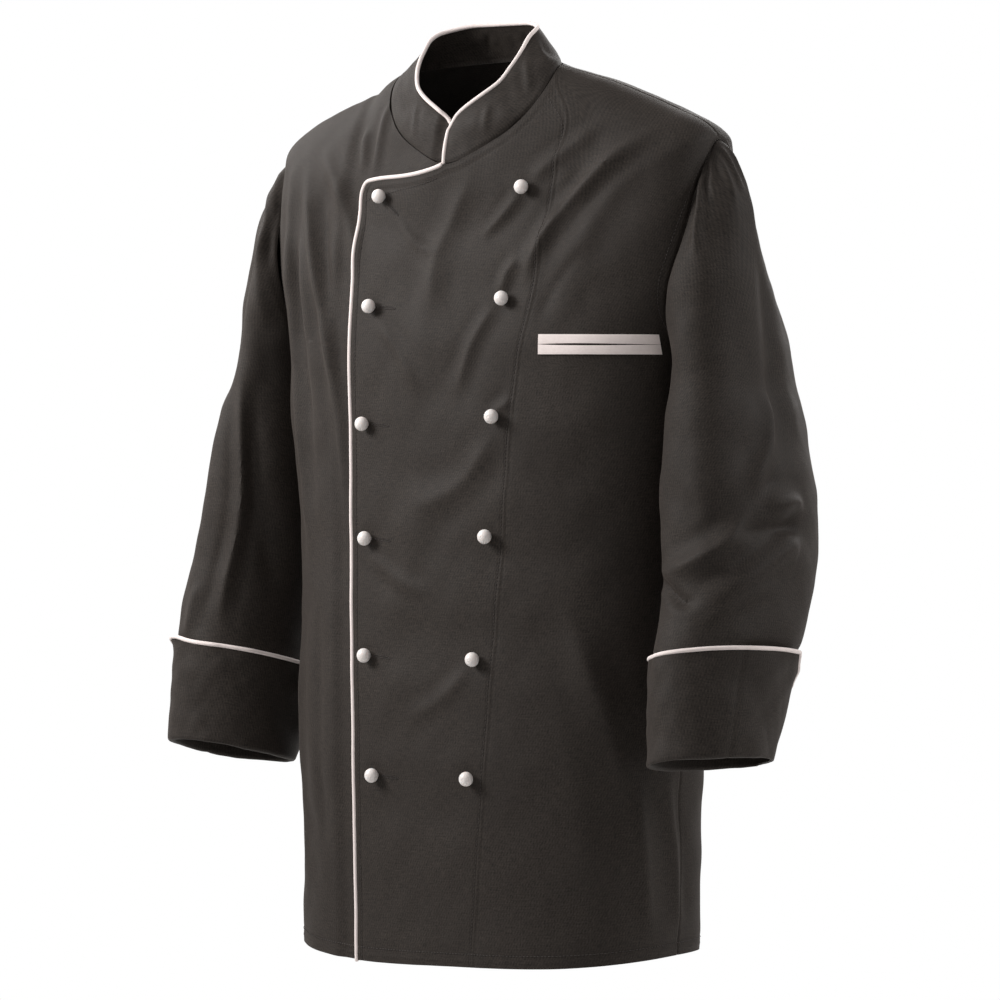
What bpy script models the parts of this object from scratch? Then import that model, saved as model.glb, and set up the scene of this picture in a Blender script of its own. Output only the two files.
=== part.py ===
"""Double-breasted chef jacket, worn shape, hollow.

Metres, +Z up. The front faces -Y and the wearer's left is +X. The origin lies midway between the
two shoulder tips, at the height of the side neck points, where the wearer's shoulders hold it up.
Every cloth piece is a thin wall made from one family of body rings or sleeve rings.
"""
import math

import bmesh
import bpy
import numpy as np
from mathutils import Vector

# ------------------------------------------------------------------ driving dimensions (metres)
CLOTH = 0.0015             # thickness of the cloth walls
SEAM_GAP = 0.0003          # space between neighbouring pieces
HALF_GAP = SEAM_GAP / 2
LAYER = 0.0032             # how far the underlap lies below the overlap, outer face to outer face
PIPING = 0.0037            # diameter of the piping
BALL = 0.0127              # diameter of a ball button
BALL_FLATTEN = 0.90        # height of the ball as a share of its width
SHANK = 0.0046             # diameter of the button's shank
SHANK_SHOW = 0.0012        # shank between cloth and ball
CUFF_TOP = 0.72            # step of the cuff's top edge down the sleeve
CUFF_INSIDE = 0.030        # how far the cuff runs up inside the sleeve
CUFF_LIFT = 0.0036         # turned-up layer away from the layer beneath, middle to middle
CUFF_STAND = 0.0006        # how far the turned-up edge stands off all round
CUFF_GAPE = 0.0045         # and how much further behind the arm
CUFF_GAPE_TURN = -1.2      # where it gapes most, radians from outside to front
CUFF_GAPE_WIDTH = 0.7
CUFF_FOLD = 0.985          # step at which the wrist fold starts
CUFF_FOLD_DIP = 0.008      # and how far it reaches past that
WELT_HEIGHT = 0.0079
WELT_SLIT = 0.0012
WELT_LIFT = 0.0006         # welt above its panel
WELT_WALL = 0.0014
POCKET_LINE = -0.2450      # height of the pocket's slit
POCKET_INNER_X = 0.1135
POCKET_OUTER_X = 0.2020

# ------------------------------------------------------------------ mesh densities
ARMHOLE_STEPS = 12         # rows up one side of the armhole, and half the sleeve's columns
BODY_STEPS = 10            # rows from hem to underarm
YOKE_STEPS = 4             # rows from shoulder tip to neck
ROW_CROWDING = 1.4         # rows lie closer together toward the underarm
EDGE_DRAW = 5              # only the columns nearest the armhole are drawn in to it
CENTRE_COLUMNS = 11
SIDE_COLUMNS = 8
RIGHT_COLUMNS = 15
BACK_COLUMNS = 20
CAP_STEPS = 6              # sleeve rows from armhole to underarm level
ARM_STEPS = 11             # sleeve rows below the underarm
COLLAR_COLUMNS = 42
COLLAR_ROWS = 3
BALL_SIDES = 12

# ------------------------------------------------------------------ body rings, hem to neck
UNDERARM = 0.56            # ring of the armhole's lowest point
TIP = 0.86                 # ring through the shoulder tips
NECK = 1.0
RING_COLUMNS = ("ring", "half_width", "front", "back", "middle_y", "side_z", "front_z", "back_z",
                "square", "crown")
BODY_RINGS = (
    (0.00, 0.190, 0.120, 0.103, 0.000, -0.775, -0.781, -0.775, 2.60, 2.0),   # hem
    (0.18, 0.192, 0.123, 0.104, 0.000, -0.610, -0.612, -0.610, 2.60, 2.0),   # hips
    (0.36, 0.196, 0.117, 0.102, 0.000, -0.440, -0.442, -0.438, 2.65, 2.0),   # waist
    (0.48, 0.203, 0.111, 0.104, 0.000, -0.325, -0.330, -0.318, 2.75, 2.0),   # ribs
    (0.56, 0.208, 0.108, 0.107, 0.000, -0.252, -0.268, -0.238, 2.80, 2.0),   # underarm
    (0.72, 0.226, 0.099, 0.104, 0.000, -0.150, -0.203, -0.158, 2.80, 2.2),   # chest
    (0.86, 0.231, 0.087, 0.083, 0.000, -0.070, -0.150, -0.083, 2.60, 2.6),   # shoulder tips
    (0.94, 0.152, 0.071, 0.064, -0.013, -0.025, -0.113, -0.033, 2.30, 2.5),  # yoke
    (1.00, 0.077, 0.054, 0.050, -0.030, 0.000, -0.088, 0.006, 2.00, 2.0),    # neck
)
ARMHOLE_FRONT = 0.044      # armhole's reach forward of the shoulder tip
ARMHOLE_BACK = 0.058
ARMHOLE_NARROW = 0.55      # share of that reach at the shoulder tip's height
ARMHOLE_WIDEN = 0.90       # share added down to the underarm
HEM_SWAY = 0.003           # how much higher the hem hangs at the wearer's left side

# overlap edge, princess seam and button columns: distance from the centre front at each ring
LINE_COLUMNS = ("ring", "overlap_edge", "princess", "underlap_edge")
FRONT_LINES = (
    (0.00, -0.0720, 0.0580, 0.046),
    (0.18, -0.0735, 0.0730, 0.060),
    (0.36, -0.0810, 0.0840, 0.070),
    (0.56, -0.0900, 0.0950, 0.080),
    (0.72, -0.0935, 0.1070, 0.084),
    (0.86, -0.0970, 0.1110, 0.084),
    (0.94, -0.0980, 0.1150, 0.070),
    (1.00, -0.0980, 0.0755, 0.036),
)
OVERLAP_CORNER = 0.918     # ring of the overlap's upper corner
TOP_EDGE_BEND = 0.8        # how early the overlap's top edge turns level
SLANT_RING = 0.88          # ring above which the princess seam slants
BUTTON_COLUMNS = ("outer_x", "outer_z", "inner_x", "inner_z")
BUTTON_ROWS = (
    (-0.0715, -0.1150, 0.0835, -0.1105),
    (-0.0690, -0.2120, 0.0755, -0.2060),
    (-0.0690, -0.3145, 0.0740, -0.3070),
    (-0.0625, -0.4145, 0.0690, -0.4100),
    (-0.0585, -0.5165, 0.0595, -0.5155),
    (-0.0480, -0.6205, 0.0560, -0.6180),
)

# long soft folds of the body: height at top and bottom, place across at top and bottom
FOLD_COLUMNS = ("top_z", "low_z", "top_x", "low_x", "width", "rise")
FRONT_FOLDS = (
    (-0.080, -0.420, -0.196, -0.176, 0.011, 0.0035),
    (-0.085, -0.300, -0.172, -0.146, 0.012, 0.0040),
    (-0.060, -0.190, -0.128, -0.118, 0.010, 0.0025),
    (-0.100, -0.300, -0.186, -0.160, 0.009, -0.0030),
    (-0.070, -0.230, 0.190, 0.110, 0.014, 0.0040),
    (-0.060, -0.200, 0.150, 0.100, 0.011, -0.0030),
    (-0.150, -0.330, 0.020, -0.040, 0.022, 0.0025),
    (-0.330, -0.520, 0.000, -0.030, 0.020, 0.0022),
    (-0.420, -0.740, 0.150, 0.165, 0.022, 0.0040),
    (-0.450, -0.775, -0.135, -0.120, 0.020, 0.0030),
)
BACK_FOLDS = (
    (-0.100, -0.330, -0.150, -0.110, 0.018, 0.0040),
    (-0.110, -0.360, 0.155, 0.115, 0.018, 0.0045),
    (-0.300, -0.775, -0.070, -0.080, 0.028, 0.0050),
    (-0.280, -0.775, 0.060, 0.085, 0.030, 0.0055),
    (-0.360, -0.775, -0.140, -0.145, 0.022, -0.0040),
    (-0.360, -0.775, 0.140, 0.150, 0.022, -0.0035),
)

SIDE_FADE = 6.0            # the body's folds die away toward the side seams

# ------------------------------------------------------------------ sleeve rings, wearer's left
ARM_COLUMNS = ("step", "x", "y", "z", "across", "deep", "square", "lean_out", "lean_front")
ARM_RINGS = {              # x is the distance from the middle of the body, outward on each side
    "left": (
        (0.00, 0.2460, 0.0030, -0.268, 0.0350, 0.0700, 2.2, 0.10, 0.02),   # below the underarm
        (0.14, 0.2510, 0.0010, -0.315, 0.0415, 0.0790, 2.2, 0.10, 0.03),
        (0.34, 0.2575, -0.0020, -0.380, 0.0490, 0.0860, 2.2, 0.08, 0.08),   # elbow
        (0.52, 0.2660, -0.0140, -0.440, 0.0510, 0.0800, 2.1, 0.10, 0.12),
        (0.68, 0.2660, -0.0340, -0.498, 0.0525, 0.0770, 2.0, 0.15, 0.11),
        (0.72, 0.2650, -0.0385, -0.511, 0.0505, 0.0760, 2.0, 0.16, 0.10),   # cuff's top edge
        (1.00, 0.2670, -0.0620, -0.600, 0.0465, 0.0610, 2.0, 0.16, 0.10),   # wrist fold
    ),
    "right": (
        (0.00, 0.2455, 0.0020, -0.268, 0.0345, 0.0690, 2.2, 0.10, 0.02),
        (0.14, 0.2505, 0.0010, -0.318, 0.0415, 0.0790, 2.2, 0.10, 0.03),
        (0.34, 0.2560, -0.0020, -0.388, 0.0490, 0.0860, 2.2, 0.06, 0.10),
        (0.52, 0.2645, -0.0150, -0.452, 0.0510, 0.0800, 2.1, 0.03, 0.20),
        (0.68, 0.2700, -0.0350, -0.520, 0.0525, 0.0745, 2.0, 0.00, 0.24),
        (0.72, 0.2665, -0.0385, -0.533, 0.0505, 0.0725, 2.0, 0.00, 0.24),
        (1.00, 0.2700, -0.0610, -0.616, 0.0465, 0.0570, 2.0, 0.00, 0.24),
    ),
}
ARMHOLE_GAP = 0.0006       # sleeve off the armhole's edge
UNDERARM_GAP = 0.0018      # and further off it under the arm, where it hangs beside the body
CAP_PULL = 0.95            # how full the sleeve head is, as a share of the way down
CAP_ROUND_FRONT = 0.90     # how far the head bulges forward beside the armhole
CAP_ROUND_BACK = -0.20     # and how far it falls in behind
CAP_LEAN = 0.85            # how far the sleeve head leans out where it leaves the shoulder tip
CAP_LEAN_LOW = 0.25        # and under the arm
CAP_DROP = 0.62            # how far it leans down there
FLAT_SPREAD = 1.35         # evens the columns out round the flat sleeve rings
CAP_SHARE = 0.30           # share of the sleeve's length above the first arm ring
SLEEVE_FOLD_COLUMNS = ("top", "low", "top_turn", "low_turn", "width", "rise")
SLEEVE_FOLDS = {           # top and low count down the sleeve, turns in degrees from outside to front
    "left": (
        (0.10, 0.75, 20, 8, 12, 0.0040),
        (0.45, 0.66, 125, 60, 16, -0.0055),
        (0.50, 0.74, 150, 95, 14, 0.0045),
        (0.28, 0.62, -40, -20, 18, 0.0045),
        (0.02, 0.22, 62, 66, 9, 0.0030),
        (0.02, 0.16, 38, 44, 7, -0.0022),
        (0.02, 0.14, 20, 24, 6, 0.0020),
        (0.02, 0.14, -4, 2, 6, 0.0020),
    ),
    "right": (
        (0.30, 0.80, 68, 74, 10, 0.0045),
        (0.05, 0.40, 82, 96, 11, 0.0045),
        (0.12, 0.50, 110, 118, 12, -0.0050),
        (0.45, 0.75, 100, 110, 16, -0.0040),
        (0.25, 0.60, 20, 10, 20, 0.0035),
        (0.25, 0.60, -50, -30, 18, 0.0040),
    ),
}

# ------------------------------------------------------------------ collar rim, by angle from front
RIM_COLUMNS = ("turn", "radius_out", "z")
RIM_SIDE = 0.0575
RIM_FRONT = 0.038
RIM_BACK = 0.040
RIM_MIDDLE_Y = -0.0395
RIM_SQUARE = 2.6           # squareness of the rim seen from above
RIM_HEIGHTS = ((0, -0.0575), (12, -0.0471), (24, -0.0407), (36, -0.0346), (48, -0.0276),
               (60, -0.0187), (72, -0.0035), (84, 0.0112), (96, 0.0235), (110, 0.0298),
               (145, 0.0362), (180, 0.0365))
NECK_DIP = 0.0175          # the neck seam runs this many rings lower
NECK_DIP_TURN = 62.0       # here, in degrees from the centre front
NECK_DIP_WIDTH = 27.0
NECK_DIP_START = 0.925     # ring above which the cloth is drawn down for it
PIPING_STOP_X = -0.007     # the front's piping ends under the stand's over end
PIPING_SINK = 0.0004       # middle of the front's piping below the overlap's outer face
COLLAR_BOW = 0.0012        # the stand's outward bow at half height
COLLAR_GAP = 0.0012        # the stand above the neck edge, where their columns differ
TUCK_BESIDE = 0.030        # the right front starts to go under this far outside the overlap's edge
TUCK_BESIDE_RUN = 0.014    # and is all the way in after this much more
TUCK_ABOVE = 0.015         # above the overlap's top edge it stays in this far
TUCK_ABOVE_RUN = 0.016
YOKE_PACE = 0.42           # metres down the front for each ring unit above the chest
COLLAR_OVER_END = -4.0     # degrees past the centre front, over
COLLAR_UNDER_END = 11.0    # degrees past the centre front, under
COLLAR_STEP_START = -20.0  # degrees at which the under end starts to go inside
COLLAR_STEP_RUN = 12.0
OVER_END_LOW = 0.18        # the end's piping starts this share of the way up the stand
OVER_END_HIGH = 0.94

CLOTH_COLOUR = (0.042, 0.036, 0.032, 1.0)
TRIM_COLOUR = (0.87, 0.78, 0.76, 1.0)
BUTTON_COLOUR = (0.78, 0.72, 0.69, 1.0)
FAR_ANGLE = 1e-3
FAR_RING = 1e-3


# ------------------------------------------------------------------ curves through table rows
def smooth(keys, values, at):
    """A curve through the rows of a table that never overshoots them (monotone cubic)."""
    keys = np.asarray(keys, float)
    values = np.asarray(values, float)
    at = np.clip(np.asarray(at, float), keys[0], keys[-1])
    widths = np.diff(keys)
    slopes = np.diff(values) / widths
    tangents = np.empty_like(values)
    tangents[0] = slopes[0]
    tangents[-1] = slopes[-1]
    before, after = slopes[:-1], slopes[1:]
    agree = before * after > 0
    total = np.where(agree, before + after, 1.0)
    tangents[1:-1] = np.where(agree, 2 * before * after / total, 0.0)
    cell = np.clip(np.searchsorted(keys, at, side="right") - 1, 0, len(keys) - 2)
    width = widths[cell]
    part = (at - keys[cell]) / width
    rise = values[cell + 1] - values[cell]
    start = tangents[cell] * width
    end = tangents[cell + 1] * width
    bend = start + end - 2 * rise
    return values[cell] + part * (start + part * (rise - start - bend + part * bend))


def column(rows, names, name, at):
    """One named column of a table, read at any place along its first column."""
    table = np.asarray(rows, float)
    return smooth(table[:, 0], table[:, names.index(name)], at)


def bump(distance):
    """A soft ridge: 1 on its line, 0 three widths away."""
    return np.exp(-np.square(distance))


def window(part):
    """Rises from 0 to 1 and back to 0 as part runs from 0 to 1."""
    inside = np.clip(part, 0.0, 1.0)
    return np.sin(np.pi * inside) ** 1.2


def unit(vectors):
    length = np.linalg.norm(vectors, axis=-1, keepdims=True)
    return vectors / np.maximum(length, 1e-12)


# ------------------------------------------------------------------ the body's surface
def ring_value(name, ring):
    return column(BODY_RINGS, RING_COLUMNS, name, ring)


def degrees_from_front(turn):
    return np.degrees(np.abs(np.angle(np.exp(1j * turn))))


def neck_dip(turn, ring):
    """How many rings lower a point lies, so that the neck seam sinks beside the throat."""
    beside = np.exp(-((degrees_from_front(turn) - NECK_DIP_TURN) / NECK_DIP_WIDTH) ** 2)
    return NECK_DIP * beside * ease((ring - NECK_DIP_START) / (NECK - NECK_DIP_START))


def body_plain(turn, ring):
    """Body surface before folds: turn in radians from the centre front to the wearer's left."""
    turn, ring = np.broadcast_arrays(np.asarray(turn, float), np.asarray(ring, float))
    ring = ring - neck_dip(turn, ring)
    wide = ring_value("half_width", ring)
    ahead = np.cos(turn) > 0
    deep = np.where(ahead, ring_value("front", ring), ring_value("back", ring))
    square = ring_value("square", ring)
    across = np.abs(np.sin(turn)) / wide
    along = np.abs(np.cos(turn)) / deep
    radius = (across ** square + along ** square) ** (-1.0 / square)
    depth_share = radius * along
    side_z = ring_value("side_z", ring)
    end_z = np.where(ahead, ring_value("front_z", ring), ring_value("back_z", ring))
    height = side_z + (end_z - side_z) * depth_share ** ring_value("crown", ring)
    middle = ring_value("middle_y", ring)
    left_share = np.clip(radius * np.sin(turn) / wide, 0, 1)
    height = height + HEM_SWAY * left_share ** 5 * np.clip(1 - ring / UNDERARM, 0, 1) ** 2
    return np.stack((radius * np.sin(turn), middle - radius * np.cos(turn), height), axis=-1)


def outward(surface, turn, ring):
    """Unit normal of a surface of turn and ring, pointing away from the body."""
    round_it = surface(turn + FAR_ANGLE, ring) - surface(turn - FAR_ANGLE, ring)
    up = surface(turn, np.minimum(ring + FAR_RING, NECK)) - surface(turn, ring - FAR_RING)
    return unit(np.cross(round_it, up))


def fold_relief(points, folds, facing):
    """Height of the long folds at points on the body; facing is 1 on the side that has them."""
    total = np.zeros(points.shape[:-1])
    for top_z, low_z, top_x, low_x, width, rise in folds:
        part = (top_z - points[..., 2]) / (top_z - low_z)
        line = top_x + (low_x - top_x) * np.clip(part, 0, 1)
        total += rise * window(part) * bump((points[..., 0] - line) / width)
    return total * facing


def body(turn, ring, out=0.0):
    """Body surface with its folds, moved out by a distance."""
    turn, ring = np.broadcast_arrays(np.asarray(turn, float), np.asarray(ring, float))
    plain = body_plain(turn, ring)
    normal = outward(body_plain, turn, ring)
    ahead = np.clip(np.cos(turn) * SIDE_FADE, 0.0, 1.0)
    behind = np.clip(-np.cos(turn) * SIDE_FADE, 0.0, 1.0)
    relief = fold_relief(plain, FRONT_FOLDS, ahead) + fold_relief(plain, BACK_FOLDS, behind)
    return plain + normal * (relief + out)[..., None]


def turn_at_x(x, ring):
    """The turn at which a front ring passes a distance x from the centre front."""
    wide = ring_value("half_width", ring)
    square = ring_value("square", ring)
    share = np.clip(np.abs(x) / wide, 0, 0.9999)
    ahead = ring_value("front", ring) * (1 - share ** square) ** (1 / square)
    return np.arctan2(x, ahead)


def turn_at_reach(reach, ring):
    """The turn at which a left ring stands a distance reach forward of its middle (or behind)."""
    wide = ring_value("half_width", ring)
    square = ring_value("square", ring)
    deep = np.where(reach > 0, ring_value("front", ring), ring_value("back", ring))
    share = np.clip(np.abs(reach) / deep, 0, 0.9999)
    return np.arctan2(wide * (1 - share ** square) ** (1 / square), reach)


def armhole(angle, inset=0.0):
    """Ring and turn of the armhole at an angle: 0 shoulder tip, pi/2 front, pi underarm."""
    span = (TIP - UNDERARM) / 2
    ring = (TIP + UNDERARM) / 2 + span * np.cos(angle)
    reach = np.where(np.sin(angle) > 0, ARMHOLE_FRONT, ARMHOLE_BACK)
    low = 0.5 - 0.5 * np.cos(angle)
    reach = reach * (ARMHOLE_NARROW + ARMHOLE_WIDEN * low) + inset
    return ring, turn_at_reach(reach * np.sin(angle), ring)


ARMHOLE_ANGLES = np.linspace(math.pi, 0.0, ARMHOLE_STEPS + 1)
BODY_LEVELS = np.concatenate((
    UNDERARM * (1 - np.linspace(1.0, 0.0, BODY_STEPS + 1)[:-1] ** ROW_CROWDING),
    armhole(ARMHOLE_ANGLES)[0],
    np.linspace(TIP, NECK, YOKE_STEPS + 1)[1:],
))


def side_edge(levels, front):
    """Turn of the side seam, armhole edge and shoulder seam on the wearer's left, per level."""
    edge = np.full(len(levels), math.pi / 2)
    sign = 1.0 if front else -1.0
    start = BODY_STEPS
    for step, angle in enumerate(ARMHOLE_ANGLES):
        edge[start + step] = armhole(sign * angle, HALF_GAP)[1]
    return edge


def spread(start, end, columns, edge):
    """Turns across a panel: even up to the side line, drawn in to the armhole at the last ones."""
    share = np.linspace(0, 1, columns + 1)
    return start + (end - start) * share + (edge - end) * share ** EDGE_DRAW


def seam_inset(turn, ring, toward):
    """Turn moved half a seam gap along its ring, toward +1 or -1, more where seams slant."""
    here = body_plain(turn, ring)
    ahead = body_plain(turn + FAR_ANGLE, ring)
    pace = np.linalg.norm(ahead - here, axis=-1) / FAR_ANGLE
    slant = 1 + np.clip((ring - SLANT_RING) / (NECK - SLANT_RING), 0, 1)
    return turn + toward * HALF_GAP * slant / pace


# ------------------------------------------------------------------ the sleeve's surface
def arm_value(side, name, step):
    return column(ARM_RINGS[side], ARM_COLUMNS, name, step)


def arm_middle(side, step):
    return np.stack([arm_value(side, name, step) for name in ("x", "y", "z")], axis=-1)


def arm_axes(side, step):
    """Outward, forward and downward directions of the sleeve's ring at a step."""
    lean_out = arm_value(side, "lean_out", step)
    down = unit(np.stack((lean_out, -arm_value(side, "lean_front", step), -np.ones_like(lean_out)),
                         axis=-1))
    outside = np.array((1.0, 0.0, 0.0))
    outside = unit(outside - down * (down @ outside)[..., None])
    return outside, np.cross(down, outside), down


def arm(side, angle, step, out=0.0):
    """Sleeve surface below the underarm: angle 0 outside, pi/2 front, pi inside."""
    angle, step, out = np.broadcast_arrays(*(np.asarray(v, float) for v in (angle, step, out)))
    outside, ahead, _ = arm_axes(side, step)
    square = arm_value(side, "square", step)
    across = arm_value(side, "across", step)
    deep = arm_value(side, "deep", step)
    radius = ((np.abs(np.cos(angle)) / across) ** square
              + (np.abs(np.sin(angle)) / deep) ** square) ** (-1 / square) + out
    return (arm_middle(side, step) + outside * (radius * np.cos(angle))[..., None]
            + ahead * (radius * np.sin(angle))[..., None])


def ring_angle(angle):
    """Spreads the sleeve's columns evenly round its flat rings."""
    return np.arctan2(np.sin(angle) * FLAT_SPREAD, np.cos(angle))


def cap(side, angle, part):
    """Sleeve head: from the armhole's edge (part 0) to the first arm ring (part 1)."""
    ring, turn = armhole(angle)
    start = body_plain(turn, ring)
    end = arm(side, ring_angle(angle), 0.0)
    low = 0.5 - 0.5 * np.cos(angle)
    bulge = np.where(np.sin(angle) > 0, CAP_ROUND_FRONT, CAP_ROUND_BACK)
    lean = np.stack((CAP_LEAN - (CAP_LEAN - CAP_LEAN_LOW) * low, -bulge * np.sin(angle),
                     -CAP_DROP - (1 - CAP_DROP) * low), axis=-1)
    length = np.linalg.norm(end - start, axis=-1)[..., None] * CAP_PULL
    leave = unit(lean) * length
    arrive = arm_axes(side, np.zeros_like(angle))[2] * length
    part = part[..., None]
    first = (1 + 2 * part) * (1 - part) ** 2
    second = part * (1 - part) ** 2
    third = part ** 2 * (3 - 2 * part)
    fourth = part ** 2 * (part - 1)
    return first * start + second * leave + third * end + fourth * arrive


def sleeve_relief(side, angle, down):
    total = np.zeros(np.shape(angle))
    for top, low, top_turn, low_turn, width, rise in SLEEVE_FOLDS[side]:
        part = (down - top) / (low - top)
        line = np.radians(top_turn + (low_turn - top_turn) * np.clip(part, 0, 1))
        apart = np.angle(np.exp(1j * (angle - line)))
        total += rise * window(part) * bump(apart / np.radians(width))
    return total


def sleeve_grid(side, rows, angles, last_step):
    """Points and outward normals of the sleeve, rows down the arm, columns round it."""
    cap_rows, arm_rows = rows
    columns = len(angles)
    cap_parts = np.linspace(0, 1, cap_rows + 1)
    arm_steps = np.linspace(0, last_step, arm_rows + 1)[1:]
    grid = [cap(side, angles, np.full(columns, part)) for part in cap_parts]
    grid += [arm(side, ring_angle(angles), np.full(columns, step)) for step in arm_steps]
    grid = np.array(grid)
    share = np.concatenate((CAP_SHARE * cap_parts, CAP_SHARE + (1 - CAP_SHARE) * arm_steps))
    angle, down = np.meshgrid(angles, share)
    grid = grid + grid_normals(grid)[..., :] * sleeve_relief(side, angle, down)[..., None]
    ring, turn = armhole(angles)
    torso_out = outward(body_plain, turn, ring)
    low = 0.5 - 0.5 * np.cos(angles)
    apart = (ARMHOLE_GAP + UNDERARM_GAP * low)[:, None]
    grid[0] += unit(unit(grid[1] - grid[0]) + torso_out) * apart
    normal = grid_normals(grid)
    return grid, normal


# ------------------------------------------------------------------ grids to walls
def grid_normals(grid):
    """Unit normals, pointing out, of a tube of points: rows run down, columns outside to front."""
    round_it = np.roll(grid, -1, axis=1) - np.roll(grid, 1, axis=1)
    return unit(np.cross(round_it, np.gradient(grid, axis=0)))


def material(name, colour, roughness):
    found = bpy.data.materials.get(name)
    if found:
        return found
    made = bpy.data.materials.new(name)
    made.use_nodes = True
    shader = made.node_tree.nodes["Principled BSDF"]
    shader.inputs["Base Color"].default_value = colour
    shader.inputs["Roughness"].default_value = roughness
    shader.inputs["Metallic"].default_value = 0.0
    return made


def add_object(name, data, finish):
    made = bpy.data.objects.new(name, data)
    data.materials.append(finish)
    bpy.data.collections["chef_jacket"].objects.link(made)
    return made


def wall(name, outer, inner, finish, wraps=False):
    """A closed cloth wall between two grids of points that match row for row."""
    rows, columns = outer.shape[:2]
    layer = rows * columns
    across = columns if wraps else columns - 1
    faces = []
    for row in range(rows - 1):
        for col in range(across):
            after = (col + 1) % columns
            a, b = row * columns + col, row * columns + after
            c, d = b + columns, a + columns
            points = outer.reshape(-1, 3)
            short = np.linalg.norm(points[a] - points[c]) <= np.linalg.norm(points[b] - points[d])
            for face in ((a, b, c), (a, c, d)) if short else ((a, b, d), (b, c, d)):
                faces.append(face)
                faces.append([layer + corner for corner in face[::-1]])
    last = (rows - 1) * columns
    for col in range(across):
        after = (col + 1) % columns
        faces.append((after, col, layer + col, layer + after))
        faces.append((last + col, last + after, layer + last + after, layer + last + col))
    if not wraps:
        for row in range(rows - 1):
            here, above = row * columns, (row + 1) * columns
            faces.append((here, above, layer + above, layer + here))
            here, above = here + columns - 1, above + columns - 1
            faces.append((above, here, layer + here, layer + above))
    mesh = bpy.data.meshes.new(name)
    points = np.concatenate((outer.reshape(-1, 3), inner.reshape(-1, 3)))
    mesh.from_pydata(points.tolist(), [], faces)
    mesh.validate()
    shell = bmesh.new()
    shell.from_mesh(mesh)
    bmesh.ops.recalc_face_normals(shell, faces=shell.faces)
    shell.to_mesh(mesh)
    shell.free()
    mesh.shade_smooth()
    return add_object(name, mesh, finish)


def body_wall(name, places, finish):
    """A body panel's wall from rows of turn, ring and depth under the body's surface."""
    outer = np.array([body(turn, ring, depth) for turn, ring, depth in places])
    inner = np.array([body(turn, ring, depth - CLOTH) for turn, ring, depth in places])
    return wall(name, outer, inner, finish)


def tube(name, points, diameter, finish, closed=False):
    """A round bead along a route of points."""
    curve = bpy.data.curves.new(name, "CURVE")
    curve.dimensions = "3D"
    curve.bevel_depth = diameter / 2
    curve.bevel_resolution = 2
    curve.use_fill_caps = True
    spline = curve.splines.new("POLY")
    spline.points.add(len(points) - 1)
    for slot, point in zip(spline.points, points):
        slot.co = (*point, 1.0)
    spline.use_cyclic_u = closed
    return add_object(name, curve, finish)


# ------------------------------------------------------------------ body panels
def line_at(name, ring):
    return column(FRONT_LINES, LINE_COLUMNS, name, ring)


def top_ring(x):
    """The ring on which the overlapping front ends: the neck, then down to the overlap's corner."""
    reach = np.clip(-x / -line_at("overlap_edge", OVERLAP_CORNER), 0, 1)
    return NECK - (NECK - OVERLAP_CORNER) * reach ** TOP_EDGE_BEND


def centre_columns(level):
    """Distances from the centre front across the overlapping panel."""
    edge_x = line_at("overlap_edge", level * OVERLAP_CORNER)
    return np.linspace(edge_x, line_at("princess", level), CENTRE_COLUMNS + 1)


def front_left_centre(cloth):
    places = []
    for level in BODY_LEVELS:
        x = centre_columns(level)
        ring = level * top_ring(x)
        turn = turn_at_x(x, ring)
        turn[-1] = seam_inset(turn[-1], ring[-1], -1)
        places.append((turn, ring, 0.0))
    return body_wall("front_left_centre", places, cloth)


def front_left_side(cloth):
    places = []
    for level, edge in zip(BODY_LEVELS, side_edge(BODY_LEVELS, True)):
        start = seam_inset(turn_at_x(line_at("princess", level), level), level, 1)
        side_line = seam_inset(math.pi / 2, level, -1)
        turn = spread(start, side_line, SIDE_COLUMNS, min(edge, side_line))
        places.append((turn, level, 0.0))
    return body_wall("front_left_side", places, cloth)


def ease(part):
    part = np.clip(part, 0, 1)
    return part * part * (3 - 2 * part)


def underlap_depth(x, ring):
    """How far the right front lies inside the body's surface, under the overlap and its piping."""
    edge_x = line_at("overlap_edge", np.minimum(ring, OVERLAP_CORNER))
    inward = ease((x - edge_x + TUCK_BESIDE) / TUCK_BESIDE_RUN)
    above = (ring - top_ring(x)) * YOKE_PACE
    return -LAYER * inward * (1 - ease((above - TUCK_ABOVE) / TUCK_ABOVE_RUN))


def front_right(cloth):
    places = []
    for level, edge in zip(BODY_LEVELS, side_edge(BODY_LEVELS, True)):
        side_line = seam_inset(math.pi / 2, level, -1)
        start = turn_at_x(-line_at("underlap_edge", level), level)
        turn = -spread(start, side_line, RIGHT_COLUMNS, min(edge, side_line))[::-1]
        depth = underlap_depth(body_plain(turn, level)[:, 0], level)
        places.append((turn, level, depth))
    return body_wall("front_right", places, cloth)


def back(cloth):
    places = []
    for level, edge in zip(BODY_LEVELS, side_edge(BODY_LEVELS, False)):
        side_line = seam_inset(math.pi / 2, level, 1)
        half = spread(math.pi, side_line, BACK_COLUMNS // 2, max(edge, side_line))[::-1]
        places.append((np.concatenate((half, 2 * math.pi - half[-2::-1])), level, 0.0))
    return body_wall("back", places, cloth)


# ------------------------------------------------------------------ collar
def rim(turn):
    wide = RIM_SIDE
    ahead = np.cos(turn) > 0
    deep = np.where(ahead, RIM_FRONT, RIM_BACK)
    radius = (np.abs(np.sin(turn) / wide) ** RIM_SQUARE
              + np.abs(np.cos(turn) / deep) ** RIM_SQUARE) ** (-1 / RIM_SQUARE)
    keys, heights = zip(*RIM_HEIGHTS)
    height = smooth(keys, heights, degrees_from_front(turn))
    return np.stack((radius * np.sin(turn), RIM_MIDDLE_Y - radius * np.cos(turn), height), axis=-1)


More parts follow.
